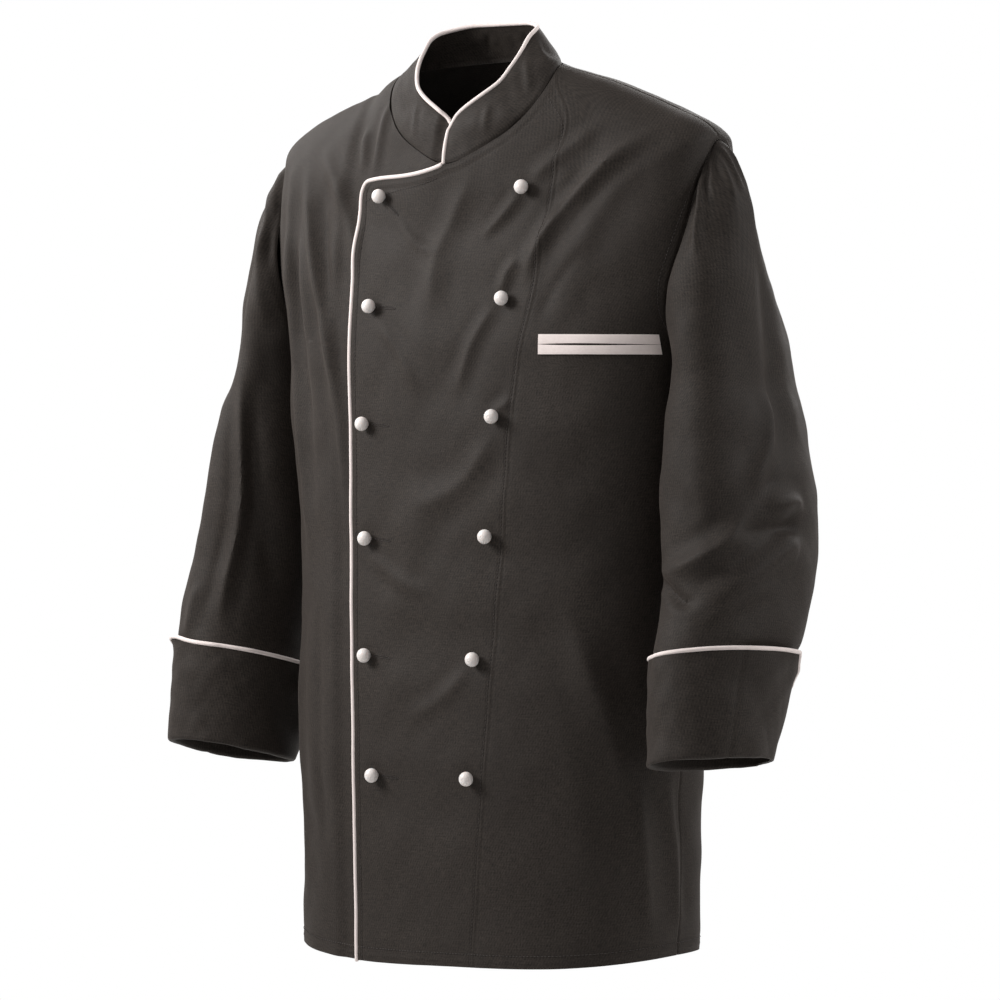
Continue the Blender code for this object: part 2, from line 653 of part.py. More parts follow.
def collar_direction(turn):
    ahead = body_plain(turn + FAR_ANGLE, NECK) + rim(turn + FAR_ANGLE)
    behind = body_plain(turn - FAR_ANGLE, NECK) + rim(turn - FAR_ANGLE)
    return unit(ahead - behind)


def collar_surface(turn, up, out=0.0):
    """The stand: up 0 at the neck seam, 1 at the rim. Turn runs on past the throat at both ends."""
    base = body(turn, NECK)
    top = rim(turn)
    rise = unit(top - base)
    facing = unit(np.cross(collar_direction(turn), rise))
    up = np.broadcast_to(up, turn.shape)
    away = COLLAR_BOW * 4 * up * (1 - up) + collar_depth(turn) + out
    lifted = base + rise * COLLAR_GAP
    return lifted + (top - lifted) * up[..., None] + facing * away[..., None]


def collar_depth(turn):
    """The under end of the stand lies inside the over end."""
    start = 2 * math.pi + math.radians(COLLAR_STEP_START)
    return -LAYER * ease((turn - start) / math.radians(COLLAR_STEP_RUN))


def collar_turns():
    return np.linspace(math.radians(COLLAR_OVER_END), 2 * math.pi + math.radians(COLLAR_UNDER_END),
                       COLLAR_COLUMNS + 1)


def collar(cloth):
    turns = collar_turns()
    ups = np.linspace(0, 1, COLLAR_ROWS + 1)
    outer = np.array([collar_surface(turns, up) for up in ups])
    inner = np.array([collar_surface(turns, up, -CLOTH) for up in ups])
    return wall("collar", outer, inner, cloth)


# ------------------------------------------------------------------ piping
def piping_front(trim):
    """Up the overlap's long edge, round its corner and along its top edge to the throat."""
    out = PIPING / 2 + SEAM_GAP
    rings = BODY_LEVELS * OVERLAP_CORNER
    turns = turn_at_x(line_at("overlap_edge", rings), rings)
    across = unit(body(turns + FAR_ANGLE, rings) - body(turns - FAR_ANGLE, rings))
    long_edge = body(turns, rings, -PIPING_SINK) - across * out
    x = centre_columns(NECK)
    x = np.append(x[x < PIPING_STOP_X - PIPING], PIPING_STOP_X)
    rings = top_ring(x)
    turns = turn_at_x(x, rings)
    along = unit(np.gradient(body(turns, rings), axis=0))
    above = unit(np.cross(outward(body_plain, turns, rings), along))
    top_edge = body(turns, rings, -PIPING_SINK) + above * out
    corner = body(turns[:1], rings[:1], -PIPING_SINK) + unit(above[:1] - across[-1:]) * out
    return tube("piping_front", np.concatenate((long_edge, corner, top_edge)), PIPING, trim)


def piping_collar(trim):
    """Up the stand's over end and round its rim."""
    out = PIPING / 2 + SEAM_GAP
    end = np.full(4, math.radians(COLLAR_OVER_END))
    ups = np.linspace(OVER_END_LOW, OVER_END_HIGH, len(end))
    over_end = collar_surface(end, ups, -CLOTH / 2) - collar_direction(end) * out
    turns = collar_turns()[:-3]
    top = collar_surface(turns, 1.0, -CLOTH / 2)
    rise = top - collar_surface(turns, 0.9, -CLOTH / 2)
    along = unit(np.gradient(top, axis=0))
    rise = rise - along * np.sum(rise * along, axis=-1)[:, None]
    rim_line = top + unit(rise) * out
    corner = top[:1] + unit(unit(rise[:1]) - collar_direction(end[:1])) * out
    return tube("piping_collar", np.concatenate((over_end, corner, rim_line)), PIPING, trim)


# ------------------------------------------------------------------ sleeves and cuffs
def mirrored(grid, side):
    return grid * np.array((1.0 if side == "left" else -1.0, 1.0, 1.0))


def cuff_pace(side):
    """Steps per metre along the cuff."""
    run = arm_middle(side, np.array(1.0)) - arm_middle(side, np.array(CUFF_TOP))
    return (1.0 - CUFF_TOP) / float(np.linalg.norm(run))


def sleeve_end(side):
    """Step at which the sleeve meets the part of the cuff that runs up inside it."""
    return 1.0 - CUFF_INSIDE * cuff_pace(side)


def sleeve(side, cloth):
    angles = np.linspace(0, 2 * math.pi, 2 * ARMHOLE_STEPS, endpoint=False)
    outer, normal = sleeve_grid(side, (CAP_STEPS, ARM_STEPS), angles, sleeve_end(side))
    inner = outer - normal * CLOTH
    return wall("sleeve_" + side, mirrored(outer, side), mirrored(inner, side), cloth, wraps=True)


def cuff_flare(angle):
    """The turned-up edge stands off the sleeve a little, most of all behind the arm."""
    apart = np.angle(np.exp(1j * (angle - CUFF_GAPE_TURN)))
    return CUFF_STAND + CUFF_GAPE * bump(apart / CUFF_GAPE_WIDTH)


def cuff_profile(side):
    """Step and lift of the cuff's rows, from the top edge down, round the fold and up inside."""
    rows = [(step, 1.0) for step in np.linspace(CUFF_TOP, CUFF_FOLD, 5)]
    for turn in (45, 90, 135):
        dip = CUFF_FOLD_DIP * math.sin(math.radians(turn))
        rows.append((CUFF_FOLD + dip, 0.5 + 0.5 * math.cos(math.radians(turn))))
    rows.append((CUFF_FOLD, 0.0))
    rows.append((sleeve_end(side) + SEAM_GAP * cuff_pace(side), 0.0))
    return rows


def cuff_row(side, angles, step, lift):
    flare = cuff_flare(angles) * np.clip((1.0 - step) / (1.0 - CUFF_TOP), 0, 1) ** 1.5
    out = lift * (CUFF_LIFT + flare) - CLOTH / 2
    return arm(side, ring_angle(angles), np.full(len(angles), step), out)


def cuff(side, cloth):
    angles = np.linspace(0, 2 * math.pi, 2 * ARMHOLE_STEPS, endpoint=False)
    middle = np.array([cuff_row(side, angles, step, lift) for step, lift in cuff_profile(side)])
    half = grid_normals(middle) * (CLOTH / 2)
    return wall("cuff_" + side, mirrored(middle + half, side), mirrored(middle - half, side), cloth,
                wraps=True)


def piping_cuff(side, trim):
    angles = np.linspace(0, 2 * math.pi, 2 * ARMHOLE_STEPS, endpoint=False)
    edge = cuff_row(side, angles, CUFF_TOP, 1.0)
    below = cuff_row(side, angles, CUFF_TOP + 0.04, 1.0)
    ring = edge + unit(edge - below) * (PIPING / 2 + SEAM_GAP)
    return tube("piping_cuff_" + side, mirrored(ring, side), PIPING, trim, closed=True)


# ------------------------------------------------------------------ pocket and buttons
def ring_at_height(turn, height):
    """The ring that passes a height at a turn, found by halving."""
    low, high = np.zeros_like(turn), np.full_like(turn, NECK)
    for _ in range(40):
        middle = (low + high) / 2
        under = body_plain(turn, middle)[..., 2] < height
        low = np.where(under, middle, low)
        high = np.where(under, high, middle)
    return (low + high) / 2


def point_on_front(x, height, out=0.0):
    """A point of the front at a distance x from the centre front and a height."""
    ring = np.full(np.shape(x), 0.5)
    for _ in range(8):
        turn = turn_at_x(x, ring)
        ring = ring_at_height(turn, height)
    return body(turn, ring, out), outward(body, turn, ring)


def welt(name, low, high, trim):
    x = np.linspace(POCKET_INNER_X, POCKET_OUTER_X, 11)
    layers = []
    for lift in (WELT_LIFT + WELT_WALL, WELT_LIFT):
        layers.append(np.array([point_on_front(x, np.full(len(x), height), lift)[0]
                                for height in (low, high)]))
    return wall(name, *layers, trim)


def button(name, x, height, finish):
    """A turned ball on a short shank, standing on the cloth."""
    place, facing = point_on_front(np.array([x]), np.array([height]), SEAM_GAP)
    ball = BALL / 2
    centre = SHANK_SHOW + ball * BALL_FLATTEN
    profile = [(0.0, centre + ball * BALL_FLATTEN)]
    for degrees in (60, 30, 0, -30, -60):
        turn = math.radians(degrees)
        profile.append((ball * math.cos(turn), centre + ball * BALL_FLATTEN * math.sin(turn)))
    profile += [(SHANK / 2, SHANK_SHOW), (SHANK / 2, 0.0), (0.0, 0.0)]
    mesh = bpy.data.meshes.new(name)
    edges = [(i, i + 1) for i in range(len(profile) - 1)]
    mesh.from_pydata([(radius, 0.0, level) for radius, level in profile], edges, [])
    made = add_object(name, mesh, finish)
    turned = made.modifiers.new("turned", "SCREW")
    turned.steps = BALL_SIDES
    turned.render_steps = BALL_SIDES
    turned.use_merge_vertices = True
    turned.merge_threshold = 0.00005
    turned.use_smooth_shade = True
    made.location = place[0]
    made.rotation_mode = "QUATERNION"
    made.rotation_quaternion = Vector((0, 0, 1)).rotation_difference(Vector(facing[0]))
    return made


# ------------------------------------------------------------------ the jacket
def main():
    for old in list(bpy.data.objects):
        bpy.data.objects.remove(old)
    group = bpy.data.collections.new("chef_jacket")
    bpy.context.scene.collection.children.link(group)
    cloth = material("anthracite_twill", CLOTH_COLOUR, 0.72)
    trim = material("cream_piping", TRIM_COLOUR, 0.65)
    knob = material("white_button", BUTTON_COLOUR, 0.35)

    front_left_centre(cloth)
    front_left_side(cloth)
    front_right(cloth)
    back(cloth)
    collar(cloth)
    for side in ("left", "right"):
        sleeve(side, cloth)
        cuff(side, cloth)
        piping_cuff(side, trim)
    piping_collar(trim)
    piping_front(trim)
    slit = WELT_SLIT / 2
    welt("pocket_welt_upper", POCKET_LINE + slit, POCKET_LINE + slit + WELT_HEIGHT, trim)
    welt("pocket_welt_lower", POCKET_LINE - slit - WELT_HEIGHT, POCKET_LINE - slit, trim)
    for row, (outer_x, outer_z, inner_x, inner_z) in enumerate(BUTTON_ROWS, start=1):
        button(f"button_outer_{row}", outer_x, outer_z, knob)
        button(f"button_inner_{row}", inner_x, inner_z, knob)


main()
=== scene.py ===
"""Looks of the double-breasted chef jacket: creased twill walls, piping, sewing and buttons.

Metres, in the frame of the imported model: the front faces -Y, +X is the wearer's left and +Z is up.
The cloth's form comes from the same rings and tables as the model's source. A turn runs in radians
from the centre front to the wearer's left, and a ring from 0 at the hem to 1 at the neck seam.
"""
import math
from functools import partial

import bmesh
import bpy
import numpy as np
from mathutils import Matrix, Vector


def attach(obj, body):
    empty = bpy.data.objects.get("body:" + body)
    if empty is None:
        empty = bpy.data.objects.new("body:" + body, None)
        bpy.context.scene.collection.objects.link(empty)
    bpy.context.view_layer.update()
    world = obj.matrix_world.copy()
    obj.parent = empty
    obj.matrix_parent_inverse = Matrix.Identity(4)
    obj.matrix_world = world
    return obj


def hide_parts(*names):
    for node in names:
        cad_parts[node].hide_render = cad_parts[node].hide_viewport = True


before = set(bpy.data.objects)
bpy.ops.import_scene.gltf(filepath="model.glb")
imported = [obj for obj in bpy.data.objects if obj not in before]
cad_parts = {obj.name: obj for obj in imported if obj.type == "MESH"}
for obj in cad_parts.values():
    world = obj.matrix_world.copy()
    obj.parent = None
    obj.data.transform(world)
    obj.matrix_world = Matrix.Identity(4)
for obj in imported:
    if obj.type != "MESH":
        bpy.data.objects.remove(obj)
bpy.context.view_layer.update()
MM = 1e-3
FAR = 1e-3                 # step for reading a surface's direction, in radians or rings


# -------------------- curves, tables and small tools
def smooth(keys, values, at):
    """A curve through the rows of a table that never overshoots them (monotone cubic)."""
    keys = np.asarray(keys, float)
    values = np.asarray(values, float)
    at = np.clip(np.asarray(at, float), keys[0], keys[-1])
    widths = np.diff(keys)
    slopes = np.diff(values) / widths
    tangents = np.empty_like(values)
    tangents[0] = slopes[0]
    tangents[-1] = slopes[-1]
    before, after = slopes[:-1], slopes[1:]
    agree = before * after > 0
    total = np.where(agree, before + after, 1.0)
    tangents[1:-1] = np.where(agree, 2 * before * after / total, 0.0)
    cell = np.clip(np.searchsorted(keys, at, side="right") - 1, 0, len(keys) - 2)
    width = widths[cell]
    part = (at - keys[cell]) / width
    rise = values[cell + 1] - values[cell]
    start = tangents[cell] * width
    end = tangents[cell + 1] * width
    bend = start + end - 2 * rise
    return values[cell] + part * (start + part * (rise - start - bend + part * bend))


def table(names, rows):
    """A reader of a table: its named column at any place along its first column."""
    names, rows = names.split(), np.array(rows, float)
    return lambda name, at: smooth(rows[:, 0], rows[:, names.index(name)], at)


def bump(distance):
    """A soft ridge: 1 on its line, 0 three widths away."""
    return np.exp(-np.square(distance))


def window(part):
    """Rises from 0 to 1 and back to 0 as part runs from 0 to 1."""
    return np.sin(np.pi * np.clip(part, 0.0, 1.0)) ** 1.2


def ease(part):
    part = np.clip(part, 0, 1)
    return part * part * (3 - 2 * part)


def unit(vectors):
    length = np.linalg.norm(vectors, axis=-1, keepdims=True)
    return vectors / np.maximum(length, 1e-12)


def arrays(*values):
    return np.broadcast_arrays(*(np.asarray(value, float) for value in values))


def beside(angle, degrees):
    """Signed angle from a place given in degrees, at most half a turn."""
    return np.angle(np.exp(1j * (angle - math.radians(degrees))))


def passed_along(points):
    """Distance along a line of points, at each of them."""
    return np.concatenate(((0.0,), np.cumsum(np.linalg.norm(np.diff(points, axis=0), axis=1))))


def closed_up(grid):
    """A tube's grid with its first column repeated at the end."""
    return np.concatenate((grid, grid[:, :1]), axis=1)


def squared(across, along, square):
    """Radius of a squared ellipse, from a direction's parts over its half axes."""
    return (np.abs(across) ** square + np.abs(along) ** square) ** (-1 / square)


# -------------------- the body's surface
UNDERARM = 0.56            # ring of the armhole's lowest point
TIP = 0.86                 # ring through the shoulder tips
NECK = 1.0
HOLE_MIDDLE, HOLE_HALF = (TIP + UNDERARM) / 2, (TIP - UNDERARM) / 2
ARMHOLE_FRONT = 0.044      # armhole's reach forward of the shoulder tip
ARMHOLE_BACK = 0.058
ARMHOLE_NARROW = 0.55      # share of that reach at the shoulder tip's height
ARMHOLE_WIDEN = 0.90       # share added down to the underarm
HEM_SWAY = 0.003           # how much higher the hem hangs at the wearer's left side
NECK_DIP = 0.0175          # the neck seam runs this many rings lower
NECK_DIP_TURN = 62.0       # here, in degrees from the centre front
NECK_DIP_WIDTH = 27.0
NECK_DIP_START = 0.925     # ring above which the cloth is drawn down for it
SIDE_FADE = 6.0            # the body's folds die away toward the side seams
ring_value = table("ring half_width front back middle_y side_z front_z back_z square crown", (
    (0.00, 0.190, 0.120, 0.103, 0.000, -0.775, -0.781, -0.775, 2.60, 2.0),   # hem
    (0.18, 0.192, 0.123, 0.104, 0.000, -0.610, -0.612, -0.610, 2.60, 2.0),   # hips
    (0.36, 0.196, 0.117, 0.102, 0.000, -0.440, -0.442, -0.438, 2.65, 2.0),   # waist
    (0.48, 0.203, 0.111, 0.104, 0.000, -0.325, -0.330, -0.318, 2.75, 2.0),   # ribs
    (0.56, 0.208, 0.108, 0.107, 0.000, -0.252, -0.268, -0.238, 2.80, 2.0),   # underarm
    (0.72, 0.226, 0.099, 0.104, 0.000, -0.150, -0.203, -0.158, 2.80, 2.2),   # chest
    (0.86, 0.231, 0.087, 0.083, 0.000, -0.070, -0.150, -0.083, 2.60, 2.6),   # shoulder tips
    (0.94, 0.152, 0.071, 0.064, -0.013, -0.025, -0.113, -0.033, 2.30, 2.5),  # yoke
    (1.00, 0.077, 0.054, 0.050, -0.030, 0.000, -0.088, 0.006, 2.00, 2.0),    # neck
))
# long soft folds in mm: height at top and bottom, place across at top and bottom, width, rise
FRONT_FOLDS = (
    (-80, -420, -196, -176, 11, 3.5),
    (-85, -300, -172, -146, 12, 4),
    (-60, -190, -128, -118, 10, 2.5),
    (-100, -300, -186, -160, 9, -3),
    (-70, -230, 190, 110, 14, 4),
    (-60, -200, 150, 100, 11, -3),
    (-150, -330, 20, -40, 22, 2.5),
    (-330, -520, 0, -30, 20, 2.2),
    (-420, -740, 150, 165, 22, 4),
    (-450, -775, -135, -120, 20, 3),
)
BACK_FOLDS = (
    (-100, -330, -150, -110, 18, 4),
    (-110, -360, 155, 115, 18, 4.5),
    (-300, -775, -70, -80, 28, 5),
    (-280, -775, 60, 85, 30, 5.5),
    (-360, -775, -140, -145, 22, -4),
    (-360, -775, 140, 150, 22, -3.5),
)


def body_plain(turn, ring):
    """The body's surface before its folds."""
    turn, ring = arrays(turn, ring)
    dip = bump((np.degrees(np.abs(beside(turn, 0))) - NECK_DIP_TURN) / NECK_DIP_WIDTH)
    ring = ring - NECK_DIP * dip * ease((ring - NECK_DIP_START) / (NECK - NECK_DIP_START))
    ahead = np.cos(turn) > 0
    wide = ring_value("half_width", ring)
    along = np.cos(turn) / np.where(ahead, ring_value("front", ring), ring_value("back", ring))
    radius = squared(np.sin(turn) / wide, along, ring_value("square", ring))
    x = radius * np.sin(turn)
    side_z = ring_value("side_z", ring)
    end_z = np.where(ahead, ring_value("front_z", ring), ring_value("back_z", ring))
    height = side_z + (end_z - side_z) * (radius * np.abs(along)) ** ring_value("crown", ring)
    height = height + (HEM_SWAY * np.clip(x / wide, 0, 1) ** 5
                       * np.clip(1 - ring / UNDERARM, 0, 1) ** 2)
    return np.stack((x, ring_value("middle_y", ring) - radius * np.cos(turn), height), axis=-1)


def outward(turn, ring):
    """Unit normal of the plain body, pointing away from it."""
    round_it = body_plain(turn + FAR, ring) - body_plain(turn - FAR, ring)
    up = body_plain(turn, np.minimum(ring + FAR, NECK)) - body_plain(turn, ring - FAR)
    return unit(np.cross(round_it, up))


def frontness(turn):
    """1 on the front, 0 behind, with a soft change at the side."""
    return np.clip(np.cos(turn) * SIDE_FADE, 0.0, 1.0)


def long_folds(plain, turn):
    """Height of the long folds at points on the body."""
    total = np.zeros(plain.shape[:-1])
    for folds, facing in ((FRONT_FOLDS, frontness(turn)), (BACK_FOLDS, frontness(turn + math.pi))):
        for row in folds:
            top_z, low_z, top_x, low_x, width, rise = (value * MM for value in row)
            part = (top_z - plain[..., 2]) / (top_z - low_z)
            line = top_x + (low_x - top_x) * np.clip(part, 0, 1)
            total += rise * window(part) * bump((plain[..., 0] - line) / width) * facing
    return total


def other_axis(reach, along, across, square):
    """A squared ellipse's half width across, at a reach along its other axis."""
    share = np.clip(np.abs(reach) / along, 0, 0.9999)
    return across * (1 - share ** square) ** (1 / square)


def turn_at_x(x, ring):
    """The turn at which a front ring passes a distance x from the centre front."""
    return np.arctan2(x, other_axis(x, ring_value("half_width", ring), ring_value("front", ring),
                                    ring_value("square", ring)))


def armhole(angle, inset=0.0):
    """Ring and turn of the armhole at an angle: 0 shoulder tip, pi/2 front, pi underarm."""
    ring = HOLE_MIDDLE + HOLE_HALF * np.cos(angle)
    reach = np.where(np.sin(angle) > 0, ARMHOLE_FRONT, ARMHOLE_BACK)
    reach = reach * (ARMHOLE_NARROW + ARMHOLE_WIDEN * (0.5 - 0.5 * np.cos(angle))) + inset
    reach = reach * np.sin(angle)
    deep = np.where(reach > 0, ring_value("front", ring), ring_value("back", ring))
    wide = other_axis(reach, deep, ring_value("half_width", ring), ring_value("square", ring))
    return ring, np.arctan2(wide, reach)


def ring_at_height(turn, height):
    """The ring that passes a height at a turn, found by halving."""
    low, high = np.zeros_like(turn), np.full_like(turn, NECK)
    for _ in range(40):
        middle = (low + high) / 2
        under = body_plain(turn, middle)[..., 2] < height
        low = np.where(under, middle, low)
        high = np.where(under, high, middle)
    return (low + high) / 2


def front_place(x, height):
    """Turn and ring of the front's point at a distance x from its middle and a height."""
    x, height = arrays(x, height)
    ring = np.full(x.shape, 0.5)
    for _ in range(8):
        turn = turn_at_x(x, ring)
        ring = ring_at_height(turn, height)
    return turn, ring


# -------------------- lines of the front
OVERLAP_CORNER = 0.918     # ring of the overlap's upper corner
TOP_EDGE_BEND = 0.8        # how early the overlap's top edge turns level
CORNER_ROUND = 0.0070      # rounding of that corner
YOKE_PACE = 0.42           # metres down the front for each ring unit above the chest
LAYER = 0.0032             # how far the underlap lies below the overlap, outer face to outer face
TUCK_BESIDE = 0.030        # the right front starts to go under this far outside the overlap's edge
TUCK_BESIDE_RUN = 0.014    # and is all the way in after this much more
TUCK_ABOVE = 0.015         # above the overlap's top edge it stays in this far
TUCK_ABOVE_RUN = 0.016
line_at = table("ring overlap_edge princess underlap_edge", (
    (0.00, -0.0720, 0.0580, 0.046),
    (0.18, -0.0735, 0.0730, 0.060),
    (0.36, -0.0810, 0.0840, 0.070),
    (0.56, -0.0900, 0.0950, 0.080),
    (0.72, -0.0935, 0.1070, 0.084),
    (0.86, -0.0970, 0.1110, 0.084),
    (0.94, -0.0980, 0.1150, 0.070),
    (1.00, -0.0980, 0.0755, 0.036),
))
BUTTON_ROWS = (            # outer column's x and height, inner column's x and height
    (-0.0715, -0.1150, 0.0835, -0.1105),
    (-0.0690, -0.2120, 0.0755, -0.2060),
    (-0.0690, -0.3145, 0.0740, -0.3070),
    (-0.0625, -0.4145, 0.0690, -0.4100),
    (-0.0585, -0.5165, 0.0595, -0.5155),
    (-0.0480, -0.6205, 0.0560, -0.6180),
)


def top_ring(x):
    """The ring on which the overlapping front ends: the neck, then down to the overlap's corner."""
    reach = np.clip(-x / -line_at("overlap_edge", OVERLAP_CORNER), 0, 1)
    return NECK - (NECK - OVERLAP_CORNER) * reach ** TOP_EDGE_BEND


def underlap_depth(x, ring):
    """How far the right front lies inside the body's surface, under the overlap and its piping."""
    edge_x = line_at("overlap_edge", np.minimum(ring, OVERLAP_CORNER))
    inward = ease((x - edge_x + TUCK_BESIDE) / TUCK_BESIDE_RUN)
    above = (ring - top_ring(x)) * YOKE_PACE
    return -LAYER * inward * (1 - ease((above - TUCK_ABOVE) / TUCK_ABOVE_RUN))


# -------------------- the sleeve's surface
# Angles run from outside (0) to front (pi/2) and inside (pi), a step from 0 under the arm to 1 at
# the wrist fold; down is the share of the whole way from the armhole to the wrist.
CAP_PULL = 0.95            # how full the sleeve head is, as a share of the way down
CAP_ROUND_FRONT = 0.90     # how far the head bulges forward beside the armhole
CAP_ROUND_BACK = -0.20     # and how far it falls in behind
CAP_LEAN = 0.85            # how far the sleeve head leans out where it leaves the shoulder tip
CAP_LEAN_LOW = 0.25        # and under the arm
CAP_DROP = 0.62            # how far it leans down there
FLAT_SPREAD = 1.35         # evens the columns out round the flat sleeve rings
CAP_SHARE = 0.30           # share of the sleeve's length above the first arm ring
ARM_COLUMNS = "step x y z across deep square lean_out lean_front"
ARM_TABLES = {             # x is the distance from the middle of the body, outward on each side
    "left": table(ARM_COLUMNS, (
        (0.00, 0.2460, 0.0030, -0.268, 0.0350, 0.0700, 2.2, 0.10, 0.02),   # below the underarm
        (0.14, 0.2510, 0.0010, -0.315, 0.0415, 0.0790, 2.2, 0.10, 0.03),
        (0.34, 0.2575, -0.0020, -0.380, 0.0490, 0.0860, 2.2, 0.08, 0.08),   # elbow
        (0.52, 0.2660, -0.0140, -0.440, 0.0510, 0.0800, 2.1, 0.10, 0.12),
        (0.68, 0.2660, -0.0340, -0.498, 0.0525, 0.0770, 2.0, 0.15, 0.11),
        (0.72, 0.2650, -0.0385, -0.511, 0.0505, 0.0760, 2.0, 0.16, 0.10),   # cuff's top edge
        (1.00, 0.2670, -0.0620, -0.600, 0.0465, 0.0610, 2.0, 0.16, 0.10),   # wrist fold
    )),
    "right": table(ARM_COLUMNS, (
        (0.00, 0.2455, 0.0020, -0.268, 0.0345, 0.0690, 2.2, 0.10, 0.02),
        (0.14, 0.2505, 0.0010, -0.318, 0.0415, 0.0790, 2.2, 0.10, 0.03),
        (0.34, 0.2560, -0.0020, -0.388, 0.0490, 0.0860, 2.2, 0.06, 0.10),
        (0.52, 0.2645, -0.0150, -0.452, 0.0510, 0.0800, 2.1, 0.03, 0.20),
        (0.68, 0.2700, -0.0350, -0.520, 0.0525, 0.0745, 2.0, 0.00, 0.24),
        (0.72, 0.2665, -0.0385, -0.533, 0.0505, 0.0725, 2.0, 0.00, 0.24),
        (1.00, 0.2700, -0.0610, -0.616, 0.0465, 0.0570, 2.0, 0.00, 0.24),
    )),
}
SLEEVE_FOLDS = {           # top and low as down, their angles in degrees, width in degrees, rise
    "left": (
        (0.10, 0.75, 20, 8, 12, 0.0040),
        (0.45, 0.66, 125, 60, 16, -0.0055),
        (0.50, 0.74, 150, 95, 14, 0.0045),
        (0.28, 0.62, -40, -20, 18, 0.0045),
        (0.02, 0.22, 62, 66, 9, 0.0030),
        (0.02, 0.16, 38, 44, 7, -0.0022),
        (0.02, 0.14, 20, 24, 6, 0.0020),
        (0.02, 0.14, -4, 2, 6, 0.0020),
    ),
    "right": (
        (0.30, 0.80, 68, 74, 10, 0.0045),
        (0.05, 0.40, 82, 96, 11, 0.0045),
        (0.12, 0.50, 110, 118, 12, -0.0050),
        (0.45, 0.75, 100, 110, 16, -0.0040),
        (0.25, 0.60, 20, 10, 20, 0.0035),
        (0.25, 0.60, -50, -30, 18, 0.0040),
    ),
}
SLEEVE_FOLD_SHARE = 0.45   # share of these model folds that stays beside the creases


def arm_middle(side, step):
    return np.stack([ARM_TABLES[side](name, step) for name in ("x", "y", "z")], axis=-1)


def arm_axes(side, step):
    """Outward, forward and downward directions of the sleeve's ring at a step."""
    lean_out = ARM_TABLES[side]("lean_out", step)
    lean_front = ARM_TABLES[side]("lean_front", step)
    down = unit(np.stack((lean_out, -lean_front, -np.ones_like(lean_out)), axis=-1))
    outside = np.array((1.0, 0.0, 0.0))
    outside = unit(outside - down * (down @ outside)[..., None])
    return outside, np.cross(down, outside), down


def arm(side, angle, step, out=0.0):
    """Sleeve surface below the underarm."""
    angle, step, out = arrays(ring_angle(angle), step, out)
    outside, ahead, _ = arm_axes(side, step)
    radius = out + squared(np.cos(angle) / ARM_TABLES[side]("across", step),
                           np.sin(angle) / ARM_TABLES[side]("deep", step),
                           ARM_TABLES[side]("square", step))
    return (arm_middle(side, step) + outside * (radius * np.cos(angle))[..., None]
            + ahead * (radius * np.sin(angle))[..., None])


def ring_angle(angle):
    """Spreads the sleeve's columns evenly round its flat rings."""
    return np.arctan2(np.sin(angle) * FLAT_SPREAD, np.cos(angle))


def cap(side, angle, part):
    """Sleeve head: from the armhole's edge (part 0) to the first arm ring (part 1)."""
    start, end = body_plain(*armhole(angle)[::-1]), arm(side, angle, 0.0)
    low = 0.5 - 0.5 * np.cos(angle)
    bulge = np.where(np.sin(angle) > 0, CAP_ROUND_FRONT, CAP_ROUND_BACK)
    lean = np.stack((CAP_LEAN - (CAP_LEAN - CAP_LEAN_LOW) * low, -bulge * np.sin(angle),
                     -CAP_DROP - (1 - CAP_DROP) * low), axis=-1)
    length = np.linalg.norm(end - start, axis=-1)[..., None] * CAP_PULL
    arrive = arm_axes(side, np.zeros_like(angle))[2] * length
    part = np.broadcast_to(part, angle.shape)[..., None]
    back = 1 - part
    return ((1 + 2 * part) * back ** 2 * start + part * back ** 2 * unit(lean) * length
            + part ** 2 * (3 - 2 * part) * end - part ** 2 * back * arrive)


def sleeve_folds(side, angle, down):
    total = np.zeros(np.shape(angle))
    for top, low, top_turn, low_turn, width, rise in SLEEVE_FOLDS[side]:
        part = (down - top) / (low - top)
        line = top_turn + (low_turn - top_turn) * np.clip(part, 0, 1)
        across = beside(angle - np.radians(line), 0) / math.radians(width)
        total += rise * window(part) * bump(across)
    return total


def on_sleeve(side, angle, down):
    """The sleeve's surface before folds, all the way from the armhole to the wrist."""
    head = cap(side, angle, np.clip(down / CAP_SHARE, 0, 1))
    rest = arm(side, angle, np.clip((down - CAP_SHARE) / (1 - CAP_SHARE), 0, 1))
    return np.where((down < CAP_SHARE)[..., None], head, rest)


# -------------------- the collar's surface
RIM_SIDE, RIM_FRONT, RIM_BACK = 0.0575, 0.038, 0.040    # the rim's half axes seen from above
RIM_MIDDLE_Y = -0.0395
RIM_SQUARE = 2.6
rim_height = table("degrees z", (
    (0, -0.0575), (12, -0.0471), (24, -0.0407), (36, -0.0346), (48, -0.0276), (60, -0.0187),
    (72, -0.0035), (84, 0.0112), (96, 0.0235), (110, 0.0298), (145, 0.0362), (180, 0.0365)))
COLLAR_BOW = 0.0012        # the stand's outward bow at half height
COLLAR_GAP = 0.0012        # the stand above the neck edge, where their columns differ
COLLAR_OVER_END = math.radians(-1)                  # its over end past the centre front
COLLAR_UNDER_END = 2 * math.pi + math.radians(11)   # and its under end
COLLAR_STEP_START = 2 * math.pi + math.radians(-20)    # the under end starts to go inside here
COLLAR_STEP_RUN = math.radians(12)


def rim(turn):
    ahead = np.cos(turn) > 0
    radius = squared(np.sin(turn) / RIM_SIDE, np.cos(turn) / np.where(ahead, RIM_FRONT, RIM_BACK),
                     RIM_SQUARE)
    height = rim_height("z", np.degrees(np.abs(beside(turn, 0))))
    height = np.where(np.asarray(turn) < 0, 2 * rim_height("z", 0) - height, height)
    return np.stack((radius * np.sin(turn), RIM_MIDDLE_Y - radius * np.cos(turn), height), axis=-1)


def collar_direction(turn):
    ahead = body_plain(turn + FAR, NECK) + rim(turn + FAR)
    return unit(ahead - body_plain(turn - FAR, NECK) - rim(turn - FAR))


